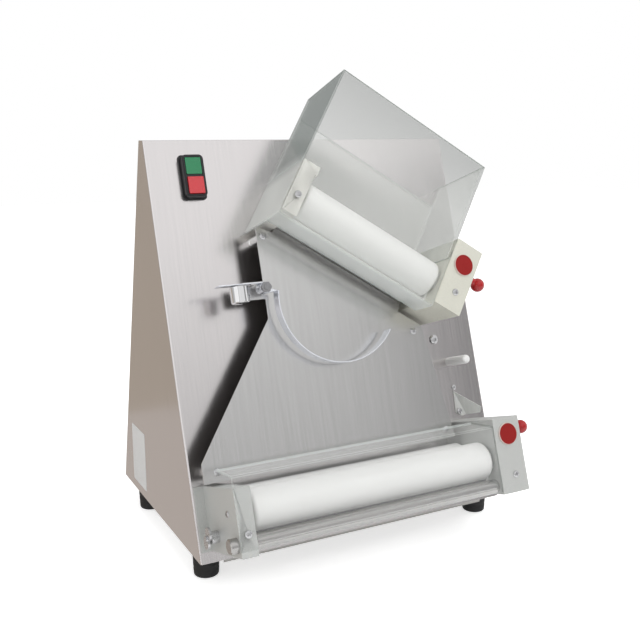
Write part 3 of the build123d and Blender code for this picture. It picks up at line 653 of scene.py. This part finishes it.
# The hopper's ledge is paler and less clear than its walls: painted light over the shade beneath it.
lip_painted_light_tint = (0.76, 0.79, 0.77)
lip_painted_light_alpha = (0.3, 0.6)
side_tint = (0.82, 0.85, 0.82)
# The left wall darkens more towards its top: painted shade.
side_painted_shade_top = (0.15, 0.19, 0.17)
side_alpha = (0.28, 0.85)
side_change = (0.022, 0.055)
guard_top_tint = (0.9, 0.91, 0.9)
guard_top_alpha = (0.02, 0.22)
joint_pale = (0.80, 0.83, 0.80)
joint_pale_dark = (0.74, 0.77, 0.74)
joint_alpha = 0.6
edge_alpha = (0.6, 0.45)
edge_gloss = (0.15, 0.3)
acrylic_index = 1.49
facing_blend = 0.25
smear_scale = 9.0
smear_gloss = (0.02, 0.10)
strip_width = 0.0022
same_sheet = 0.00002
parallel = 0.99
facing = 0.9
hopper_along = Vector(joints["upper_rear_spin"]["axis"])
hopper_up = outwards.cross(hopper_along)
hopper_middle = Vector(joints["upper_rear_spin"]["pos_m"])


def clear_sheet(name, tint, alpha):
    """Acrylic that lets light through its faces, less of it the flatter they are seen."""
    finish, nodes, links, shader = new_finish(name)
    shader.inputs["Base Color"].default_value = (*tint, 1.0)
    shader.inputs["IOR"].default_value = acrylic_index
    slant = added(nodes, "LayerWeight", Blend=facing_blend)
    veil = added(nodes, "MapRange", To_Min=alpha[0], To_Max=alpha[1])
    place = added(nodes, "TexCoord")
    smear = added(nodes, "TexNoise", Scale=smear_scale)
    gloss = added(nodes, "MapRange", To_Min=smear_gloss[0], To_Max=smear_gloss[1])
    links.new(slant.outputs["Facing"], veil.inputs["Value"])
    links.new(veil.outputs["Result"], shader.inputs["Alpha"])
    links.new(place.outputs["Object"], smear.inputs["Vector"])
    links.new(smear.outputs["Fac"], gloss.inputs["Value"])
    links.new(gloss.outputs["Result"], shader.inputs["Roughness"])
    return finish


def painted_shade_sheet(name, tint, painted_top_shade, alpha, change):
    """A clear sheet of the hopper whose tint darkens towards its top, between two heights above the rollers:
    painted shade.
    """
    finish = clear_sheet(name, tint, alpha)
    nodes = finish.node_tree.nodes
    links = finish.node_tree.links
    place = added(nodes, "TexCoord")
    height = added(nodes, "VectorMath")
    height.operation = "DOT_PRODUCT"
    height.inputs[1].default_value = hopper_up
    rollers = hopper_middle.dot(hopper_up)
    fade = added(nodes, "MapRange", From_Min=rollers + change[0], From_Max=rollers + change[1])
    tone = added(nodes, "ValToRGB")
    tone.color_ramp.elements[0].color = (*tint, 1.0)
    tone.color_ramp.elements[1].color = (*painted_top_shade, 1.0)
    links.new(place.outputs["Object"], height.inputs[0])
    links.new(height.outputs["Value"], fade.inputs["Value"])
    links.new(fade.outputs["Result"], tone.inputs["Fac"])
    links.new(tone.outputs["Color"], nodes["Principled BSDF"].inputs["Base Color"])
    return finish


hopper_sheet = painted_shade_sheet("hopper_sheet", hopper_tint, hopper_painted_shade_top, hopper_alpha, hopper_change)
side_sheet = painted_shade_sheet("side_sheet", side_tint, side_painted_shade_top, side_alpha, side_change)
guard_sheet = clear_sheet("guard_sheet", guard_tint, guard_alpha)
lip_painted_light_sheet = clear_sheet("lip_painted_light_sheet", lip_painted_light_tint, lip_painted_light_alpha)
guard_top = clear_sheet("guard_top", guard_top_tint, guard_top_alpha)
painted_light_back_sheet = clear_sheet("painted_light_back_sheet", hopper_back_painted_light_tint, hopper_back_painted_light_alpha)
panel_out = max(vert.co.dot(outwards) for vert in frame["nodes"]["cabinet_shell"].data.vertices)
hopper_cut = grained(
    "hopper_cut_edge", hopper_edge, hopper_edge_dark, roughness=edge_gloss, grain=fine, relief=0.00002
)
guard_cut = grained(
    "guard_cut_edge", guard_edge, guard_edge_dark, roughness=edge_gloss, grain=fine, relief=0.00002
)
glued_joint = grained(
    "glued_joint", joint_pale, joint_pale_dark, roughness=edge_gloss, grain=fine, relief=0.00002
)
tuned(glued_joint, "Alpha", joint_alpha)
covers = (
    ("upper_hopper", hopper_sheet, hopper_cut, lip_painted_light_sheet),
    ("lower_guard", guard_sheet, guard_cut, guard_top),
)
cut_edge, ledge, painted_light_wall, left_wall, joint_line = range(1, 6)
for number, (node, face_finish, edge_finish, ledge_finish) in enumerate(covers):
    tuned(edge_finish, "Alpha", edge_alpha[number])
    cover = dressed(node, "clear", face_finish, soften=cover_round[number], rings=1, faceted=True)
    for finish in (edge_finish, ledge_finish, painted_light_back_sheet, side_sheet, glued_joint):
        cover.data.materials.append(finish)
    cover.modifiers["broken_edges"].material = joint_line
    cover.visible_shadow = False
    over_rollers = outwards.cross(Vector(joints[node.split("_")[0] + "_rear_spin"]["axis"]))
    wide_sheets = []
    strips = []
    for face in cover.data.polygons:
        rim = [cover.data.vertices[corner].co for corner in face.vertices]
        around = sum((here - there).length for here, there in zip(rim, rim[1:] + rim[:1]))
        if face.area / around < strip_width:
            strips.append(face.index)
        else:
            wide_sheets.append((face.normal.copy(), face.center.dot(face.normal)))
    for face in cover.data.polygons:
        level_with = [offset for normal, offset in wide_sheets if normal.dot(face.normal) > parallel]
        off_sheet = [abs(face.center.dot(face.normal) - offset) for offset in level_with]
        at_back = face.center.dot(outwards) < panel_out + back_reach
        if face.index in strips and min(off_sheet, default=1.0) > same_sheet:
            face.material_index = cut_edge
        elif abs(face.normal.dot(over_rollers)) > facing:
            face.material_index = ledge
        # Back walls and right ends take the paler sheet: painted light.
        elif at_back and abs(face.normal.dot(outwards)) > facing:
            face.material_index = painted_light_wall
        elif abs(face.normal.dot(hopper_along)) > facing:
            on_left = (face.center - hopper_middle).dot(hopper_along) < 0.0
            face.material_index = left_wall if on_left else painted_light_wall

# Tie bar: a bright drawn steel bar that runs under the lower roller from end piece to end piece,
# with a small chamfer at each end.
bright_bar = (0.50, 0.49, 0.48)
bright_bar_dark = (0.44, 0.43, 0.42)
drawing_lines = (0.06, 0.0007, 0.0007)
bar_chamfer = 0.0012
drawn_steel = grained(
    "drawn_steel", bright_bar, bright_bar_dark,
    roughness=(0.2, 0.24), grain=drawing_lines, relief=0.000001, metal=1.0,
)
foot, length, radius = islands("lower_tie_bar", sideways)[0]
rod = chamfered_rod(0.0, length, radius, bar_chamfer)
bar = turned("lower_tie_bar_piece", rod, foot, sideways, sides=48)
fitted(bar, "steel", drawn_steel, "lower_tie_bar")

# Drive: an induction motor with a finned shell hangs on a legged bracket behind the front. One rubber
# belt runs from its pulley round those of the two worm shafts. A red cap covers each worm bore.
motor_grey = (0.20, 0.22, 0.24)
motor_grey_dark = (0.15, 0.17, 0.19)
belt_black = (0.022, 0.022, 0.024)
belt_black_dark = (0.014, 0.014, 0.015)
can_white = (0.62, 0.62, 0.60)
can_white_dark = (0.56, 0.56, 0.54)
cap_red = (0.31, 0.008, 0.007)
cap_red_dark = (0.26, 0.006, 0.006)
cap_ring = (0.66, 0.55, 0.50)
cap_ring_dark = (0.58, 0.47, 0.43)
cap_shine = 0.3
cap_rim = 0.0011
cap_bend = 0.5
cap_step = (0.8, 1.3)
cap_dish = ((0.8, 0.6), (0.85, 0.3), (0.88, 0.0))
bell_depth = 0.006
bell_radii = (0.82, 0.94)
fin_count = 14
fin_depth = 0.004
fin_clear = (0.02, 0.012)
fin_shape = (0.0, 0.1, 0.5, 0.6)
shell_chamfer = 0.001
shell_plain = 0.010
boss_share = 0.55
boss_play = 0.0003
shaft_hole = 0.0071
hole_depth = 0.016
bracket_thick = 0.004
can_chamfer = 0.001
can_round = 0.003
can_sink = 0.0012
motor_paint = grained(
    "motor_paint", motor_grey, motor_grey_dark, roughness=(0.4, 0.55), grain=fine, relief=0.00004
)
belt_rubber = grained(
    "belt_rubber", belt_black, belt_black_dark, roughness=(0.6, 0.75), grain=fine, relief=0.00005
)
can_plastic = grained(
    "can_plastic", can_white, can_white_dark, roughness=(0.35, 0.45), grain=fine, relief=0.00002
)
cap_plastic = grained(
    "cap_plastic", cap_red, cap_red_dark, roughness=(0.35, 0.5), grain=cast_grain, relief=0.00002
)
tuned(cap_plastic, "Specular IOR Level", cap_shine)
ring_metal = grained(
    "cap_ring_metal", cap_ring, cap_ring_dark, roughness=(0.3, 0.42), grain=fine, relief=0.00001
)
dressed("motor_bracket", "steel", machined_steel)
point, axis = spin_line("motor_spin")
start, end, radius = reach("motor", point, axis)
boss = boss_share * radius - boss_play
shell_end = end - bracket_thick
outline = [(start, 0.0), (start, bell_radii[0] * radius), (start + bell_depth, bell_radii[1] * radius)]
fin_from = start + fin_clear[0]
fin_step = (shell_end - fin_clear[1] - fin_from) / fin_count
fin_radii = (radius - fin_depth, radius, radius, radius - fin_depth)
for fin in range(fin_count):
    near = fin_from + fin * fin_step
    outline += [(near + share * fin_step, width) for share, width in zip(fin_shape, fin_radii)]
outline += [(shell_end - shell_plain, radius), (shell_end - shell_chamfer, radius)]
outline += [(shell_end, radius - shell_chamfer), (shell_end, boss), (end, boss), (end, shaft_hole)]
outline += [(shell_end - hole_depth, shaft_hole), (shell_end - hole_depth, 0.0)]
fitted(turned("motor_piece", outline, point, axis), "motor_paint", motor_paint, "motor")
dressed("motor_pulley", "light_alloy", satin_alloy, soften=0.0004)
dressed("drive_belt", "rubber", belt_rubber, soften=0.0006)
foot, length, radius = islands("capacitor", upwards)[0]
outline = [(0.0, 0.0), (0.0, radius - can_chamfer), (can_chamfer, radius)]
outline += quarter((length - can_round, radius - can_round), can_round, 90.0)
outline += [(length - can_sink, radius - 2 * can_round), (length - can_sink, 0.0)]
can = turned("capacitor_piece", outline, foot, upwards, sides=48)
fitted(can, "black_plastic", can_plastic, "capacitor")
cap_solids = islands("worm_caps", outwards)
caps = []
for foot, length, radius in cap_solids:
    bend = cap_bend * length
    outline = [(0.0, 0.0), (0.0, radius)] + quarter((bend, radius - bend), bend, 90.0)
    outline.append((cap_step[0] * length, radius - cap_step[1] * cap_rim))
    outline += [(depth * length, share * radius) for depth, share in cap_dish]
    caps.append(turned("one_cap", outline, foot, outwards))
cap_set = fitted(gathered("worm_caps_set", caps), "red_gloss", cap_plastic, "worm_caps")
cap_set.data.materials.append(ring_metal)
for face in cap_set.data.polygons:
    foot, length, radius = min(cap_solids, key=lambda solid: (solid[0] - face.center).length)
    gap = face.center - foot
    off_axis = (gap - outwards * gap.dot(outwards)).length
    if off_axis > radius - cap_rim:
        face.material_index = 1

# Chute: a satin stainless plate on turned standoffs takes the dough from the upper rollers to the
# lower ones. A polished guide peg and a small bent deflector are fixed to the front on its right.
plate_steel = (0.66, 0.655, 0.65)
plate_steel_dark = (0.62, 0.615, 0.61)
plate_brushing = (0.004, 0.12, 0.004)
post_steel = (0.88, 0.88, 0.87)
post_steel_dark = (0.80, 0.80, 0.79)
post_chamfer = 0.0005
groove_at = (0.12, 0.14, 0.18, 0.2)
groove_share = 0.86
# Near black for the chute plate's back faces: painted shade of the gap behind the plate, which the front also
# shows in its reflection.
plate_back_painted_shade = (0.09, 0.085, 0.08)
plate_back_painted_shade_dark = (0.065, 0.06, 0.057)
peg_white = (0.84, 0.84, 0.83)
peg_white_dark = (0.80, 0.80, 0.79)
peg_round = 0.7
flap_steel = (0.72, 0.73, 0.71)
flap_steel_dark = (0.64, 0.65, 0.63)
satin_plate = grained(
    "satin_plate", plate_steel, plate_steel_dark,
    roughness=(0.24, 0.25), grain=plate_brushing, relief=0.000002, metal=1.0,
)
bright_post = grained(
    "bright_post", post_steel, post_steel_dark,
    roughness=(0.1, 0.18), grain=fine, relief=0.000004, metal=0.8,
)
painted_shade_back = grained(
    "painted_shade_back", plate_back_painted_shade, plate_back_painted_shade_dark, roughness=(0.4, 0.55), grain=fine, relief=0.00002
)
polished_peg = grained(
    "polished_peg", peg_white, peg_white_dark, roughness=(0.2, 0.3), grain=fine, relief=0.00001
)
pale_sheet = grained(
    "pale_sheet", flap_steel, flap_steel_dark,
    roughness=(0.35, 0.45), grain=plate_brushing, relief=0.000004, metal=0.5,
)
plate = dressed("chute_plate", "steel_sheet", satin_plate, soften=0.0003)
# The plate's back faces take the near-black finish: painted shade.
plate.data.materials.append(painted_shade_back)
for face in plate.data.polygons:
    if face.normal.dot(outwards) < -facing:
        face.material_index = 1
posts = []
for foot, length, radius in islands("chute_standoffs", outwards):
    groove_radii = (radius, groove_share * radius, groove_share * radius, radius)
    outline = chamfered_rod(0.0, length, radius, post_chamfer)
    outline[3:3] = [(share * length, width) for share, width in zip(groove_at, groove_radii)]
    posts.append(turned("one_post", outline, foot, outwards, sides=32))
fitted(gathered("chute_standoffs_set", posts), "steel", bright_post, "chute_standoffs")
foot, length, radius = islands("guide_peg", outwards)[0]
bend = peg_round * radius
outline = [(0.0, 0.0), (0.0, radius)] + quarter((length - bend, radius - bend), bend, 90.0)
outline.append((length, 0.0))
peg = turned("guide_peg_piece", outline, foot, outwards, sides=48)
fitted(peg, "steel", polished_peg, "guide_peg")
dressed("deflector", "steel_sheet", pale_sheet, soften=0.0003)

# Swing arm: a strip of spring-hard stainless rolled into a bow, riveted to a barrel that turns on the
# pivot bolt. A chromed weight under its short end brings it back to rest.
arm_steel = (0.85, 0.87, 0.92)
arm_steel_dark = (0.78, 0.80, 0.85)
bolt_steel = (0.36, 0.36, 0.37)
bolt_steel_dark = (0.28, 0.28, 0.29)
chrome = (0.80, 0.80, 0.81)
chrome_dark = (0.74, 0.74, 0.75)
weight_flat = 0.5
weight_bevel = (0.0008, 0.0012)
weight_shoulder = 0.002
bright_strip = grained(
    "bright_strip", arm_steel, arm_steel_dark,
    roughness=(0.14, 0.22), grain=fine, relief=0.00001, metal=0.7,
)
chrome_plate = grained(
    "chrome_plate", chrome, chrome_dark, roughness=(0.05, 0.1), grain=fine, relief=0.000004, metal=1.0
)
dark_bolt = grained(
    "dark_bolt", bolt_steel, bolt_steel_dark,
    roughness=(0.25, 0.35), grain=fine, relief=0.00001, metal=1.0,
)
dressed("swing_arm", "steel", bright_strip, soften=0.0003)
foot, length, radius = islands("counterweight", up_slope)[0]
bevel_in, bevel_down = weight_bevel
outline = [(0.0, 0.0), (0.0, weight_flat * radius), (bevel_in, radius - bevel_down)]
outline += [(weight_shoulder, radius), (length - weight_shoulder, radius)]
outline += [(length - bevel_in, radius - bevel_down), (length, weight_flat * radius), (length, 0.0)]
weight = turned("counterweight_piece", outline, foot, up_slope)
fitted(weight, "steel", chrome_plate, "counterweight")
dressed("arm_pivot_bolt", "steel", dark_bolt)

# Front screws: a cast wing screw and a small domed one sit in the left face of the lower end plate.
# Domed cross-head screws hold the covers, chute and deflector, and a domed nut stands beside the chute.
end_screw_radius = 0.0045
nut_radius = 0.006
head_rise = 0.52
dressed("wing_screw", "steel", bright_screw, soften=0.0008, rings=3)
front_heads = []
for foot, length, radius in islands("front_screws", outwards):
    head = domed_head(radius, head_rise * radius, crossed=radius < nut_radius)
    front_heads.append((head, foot + outwards * (length - head_rise * radius)))
fitted(planted("front_screw_heads", front_heads, outwards), "steel", bright_screw, "front_screws")
end_spot = spin_line("lower_front_spin")[0]
end_spot.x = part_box("lower_guard")[0].x
end_head = domed_head(end_screw_radius, head_rise * end_screw_radius)
carried(planted("end_plate_screw", [(end_head, end_spot)], -sideways), bright_screw)

# Blank rating sticker: a plain white paper label with rounded corners, low on the left side of the
# cabinet. It carries no print.
sticker_from_front = 0.262
sticker_height = 0.09
sticker_half = (0.032, 0.045)
sticker_thick = 0.0003
sticker_round = 0.002
paper_white = (0.80, 0.80, 0.79)
paper_white_dark = (0.74, 0.74, 0.73)
paper_grain = (0.003, 0.003, 0.003)
shell_low, shell_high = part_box("cabinet_shell")
paper = grained(
    "sticker_paper", paper_white, paper_white_dark,
    roughness=(0.45, 0.6), grain=paper_grain, relief=0.00002,
)
sticker_middle = (shell_low.y + sticker_from_front, sticker_height)
sticker_sides = [widened((middle, middle), half) for middle, half in zip(sticker_middle, sticker_half)]
sheet = bmesh.new()
rim = rounded_rim(sheet, *sticker_sides, sticker_round, lambda y, z: (shell_low.x, y, z))
sticker = thickened("blank_sticker", sheet, [sheet.faces.new(rim)], (-sticker_thick, 0.0, 0.0))
carried(sticker, paper)

# Studio: a pale floor that takes the shadow, a white surround that metal shows a little greyer at the
# back and sides, two large soft lamps, and cards that only steel reflects, on the left and in front.
white = (1.0, 1.0, 1.0)
floor_white = (0.92, 0.92, 0.92)
floor_grain = (3.0, 3.0, 3.0)
floor_half = 6.0
floor_drop = 0.0002
floor_glow = 0.62
floor_gloss = 0.22
surround_light = 0.62
card_warm = (0.44, 0.385, 0.325)
floor_warm = (0.52, 0.47, 0.43)
shaded_side = 0.46
bright_way = (0.456, -0.814, 0.357)
bright_spread = (0.25, 0.75)
front_side_fade = {"From_Min": 1.2, "From_Max": 1.9, "To_Min": 1.0, "To_Max": 0.34}
front_height_fade = {"From_Min": 0.4, "From_Max": 1.9, "To_Min": 0.6, "To_Max": 1.0}
left_card = ((0.75, 0.0, 0.0), (0.0, 0.0, 0.6), (-1.02, 0.75, 0.6))
left_mat = ((0.65, 0.0, 0.0), (0.0, 0.9, 0.0), (-0.89, 0.8, 0.0005))
front_card = ((2.0, 0.0, 0.0), (0.0, 0.0, 1.0), (1.2, -2.0, 1.0))
# Grey of the floor and surround where they are seen through a clear cover: painted shade standing for the covers'
# veil.
painted_veil_grey = 0.58
lamp_size = 2.0
lamp_target = Vector((0.0, 0.0, 0.3))
key_place = Vector((0.7, -1.3, 2.3))
key_power = 30.0
fill_place = Vector((-2.2, -1.0, 1.2))
fill_power = 7.0
camera_place = Vector((-0.5909, -0.9925, 0.5767))
camera_turn = radians(27.80)
camera_dip = radians(12.15)
camera_sensor = 36.0
camera_lens = 49.84
machine_front = Vector(((shell_low.x + shell_high.x) / 2, shell_low.y, 0.0))
scene = bpy.context.scene
scene.view_settings.view_transform = "Standard"


def flat(name, across, up, middle):
    """A rectangle given by its two half sides, about a middle point."""
    mesh = bpy.data.meshes.new(name)
    across = Vector(across)
    up = Vector(up)
    corners = [middle - across - up, middle + across - up, middle + across + up, middle - across + up]
    mesh.from_pydata(corners, [], [(0, 1, 2, 3)])
    return linked(name, mesh)


def combined(nodes, links, operation, first, second):
    """The result of a sum on two outputs that stays between 0 and 1."""
    node = added(nodes, "Math")
    node.operation = operation
    node.use_clamp = True
    links.new(first, node.inputs[0])
    links.new(second, node.inputs[1])
    return node.outputs["Value"]


def seen_white(nodes, links):
    """A factor that is 1 where the camera, a gloss or a clear piece looks straight at a surface."""
    ray = added(nodes, "LightPath").outputs
    either = combined(nodes, links, "MAXIMUM", ray["Is Camera Ray"], ray["Is Glossy Ray"])
    return combined(nodes, links, "MAXIMUM", either, ray["Is Transmission Ray"])


def behind_clear(nodes, links):
    """A factor that is 1 where the camera looks at a surface through a clear cover."""
    ray = added(nodes, "LightPath").outputs
    return combined(nodes, links, "MULTIPLY", ray["Is Camera Ray"], ray["Transparent Depth"])


floor_middle = Vector((0.0, 0.0, -floor_drop))
floor = flat("floor", (floor_half, 0.0, 0.0), (0.0, floor_half, 0.0), floor_middle)
floor_finish = grained(
    "pale_floor", floor_white, floor_white, roughness=(0.6, 0.7), grain=floor_grain, relief=0.00001
)
nodes = floor_finish.node_tree.nodes
links = floor_finish.node_tree.links
floor_shader = nodes["Principled BSDF"]
floor_shader.inputs["Emission Color"].default_value = (*white, 1.0)
glow = added(nodes, "MapRange")
in_steel = added(nodes, "MapRange", To_Min=floor_glow, To_Max=floor_gloss)
links.new(added(nodes, "LightPath").outputs["Is Glossy Ray"], in_steel.inputs["Value"])
links.new(in_steel.outputs["Result"], glow.inputs["To Max"])
links.new(seen_white(nodes, links), glow.inputs["Value"])
links.new(glow.outputs["Result"], floor_shader.inputs["Emission Strength"])
# Seen through a clear cover, the floor shows an even grey: painted shade.
plain_floor = added(nodes, "Emission", Strength=painted_veil_grey)
either_floor = added(nodes, "MixShader")
links.new(behind_clear(nodes, links), either_floor.inputs["Fac"])
links.new(floor_shader.outputs["BSDF"], either_floor.inputs[1])
links.new(plain_floor.outputs["Emission"], either_floor.inputs[2])
links.new(either_floor.outputs["Shader"], nodes["Material Output"].inputs["Surface"])
floor.data.materials.append(floor_finish)


def reflected_card(name, across, up, middle, colour):
    """The nodes, links and shader of an even card that shows only as a reflection in steel."""
    card = flat(name, across, up, machine_front + Vector(middle))
    finish, nodes, links, shader = new_finish(name)
    shader.inputs["Base Color"].default_value = (0.0, 0.0, 0.0, 1.0)
    shader.inputs["Specular IOR Level"].default_value = 0.0
    shader.inputs["Emission Color"].default_value = (*colour, 1.0)
    shader.inputs["Emission Strength"].default_value = 1.0
    card.data.materials.append(finish)
    card.visible_camera = False
    card.visible_diffuse = False
    card.visible_transmission = False
    card.visible_shadow = False
    return nodes, links, shader


reflected_card("warm_card", *left_card, card_warm)
reflected_card("warm_mat", *left_mat, floor_warm)
nodes, links, shader = reflected_card("front_card", *front_card, white)
split = added(nodes, "SeparateXYZ")
links.new(added(nodes, "TexCoord").outputs["Object"], split.inputs["Vector"])
fades = []
for way, change in (("X", front_side_fade), ("Z", front_height_fade)):
    fade = added(nodes, "MapRange", **change)
    fade.interpolation_type = "SMOOTHSTEP"
    links.new(split.outputs[way], fade.inputs["Value"])
    fades.append(fade.outputs["Result"])
links.new(combined(nodes, links, "MULTIPLY", *fades), shader.inputs["Emission Strength"])

surround_world = bpy.data.worlds.new("white_surround")
surround_world.use_nodes = True
nodes = surround_world.node_tree.nodes
links = surround_world.node_tree.links
nodes["Background"].inputs["Color"].default_value = (*white, 1.0)
level = added(nodes, "MapRange", To_Min=surround_light)
# Seen through a clear cover, the surround is dimmed to the same grey: painted shade.
dimmed = added(nodes, "MapRange", To_Min=1.0, To_Max=painted_veil_grey)
towards = added(nodes, "VectorMath")
towards.operation = "DOT_PRODUCT"
towards.inputs[1].default_value = bright_way
away = added(nodes, "MapRange", From_Min=bright_spread[0], From_Max=bright_spread[1])
away.inputs["To Min"].default_value = shaded_side
away.inputs["To Max"].default_value = 0.0
kept = added(nodes, "MapRange", To_Min=1.0, To_Max=0.0)
links.new(seen_white(nodes, links), level.inputs["Value"])
links.new(behind_clear(nodes, links), dimmed.inputs["Value"])
links.new(dimmed.outputs["Result"], level.inputs["To Max"])
links.new(added(nodes, "TexCoord").outputs["Generated"], towards.inputs[0])
links.new(towards.outputs["Value"], away.inputs["Value"])
glossy_ray = added(nodes, "LightPath").outputs["Is Glossy Ray"]
in_gloss = combined(nodes, links, "MULTIPLY", glossy_ray, away.outputs["Result"])
links.new(in_gloss, kept.inputs["Value"])
shown = combined(nodes, links, "MULTIPLY", level.outputs["Result"], kept.outputs["Result"])
links.new(shown, nodes["Background"].inputs["Strength"])
scene.world = surround_world


def soft_lamp(name, place, power):
    """A large square lamp aimed at the machine."""
    lamp = bpy.data.lights.new(name, "AREA")
    lamp.shape = "SQUARE"
    lamp.size = lamp_size
    lamp.energy = power
    holder = bpy.data.objects.new(name, lamp)
    holder.location = place
    holder.rotation_euler = (lamp_target - place).to_track_quat("-Z", "Y").to_euler()
    scene.collection.objects.link(holder)
    return holder


soft_lamp("key_lamp", key_place, key_power).visible_glossy = False
soft_lamp("fill_lamp", fill_place, fill_power)

camera_data = bpy.data.cameras.new("photo_camera")
camera_data.sensor_width = camera_sensor
camera_data.lens = camera_lens
camera = bpy.data.objects.new("photo_camera", camera_data)
camera.location = machine_front + camera_place
camera.rotation_euler = (pi / 2 - camera_dip, 0.0, -camera_turn)
scene.collection.objects.link(camera)
scene.camera = camera

bpy.context.view_layer.update()
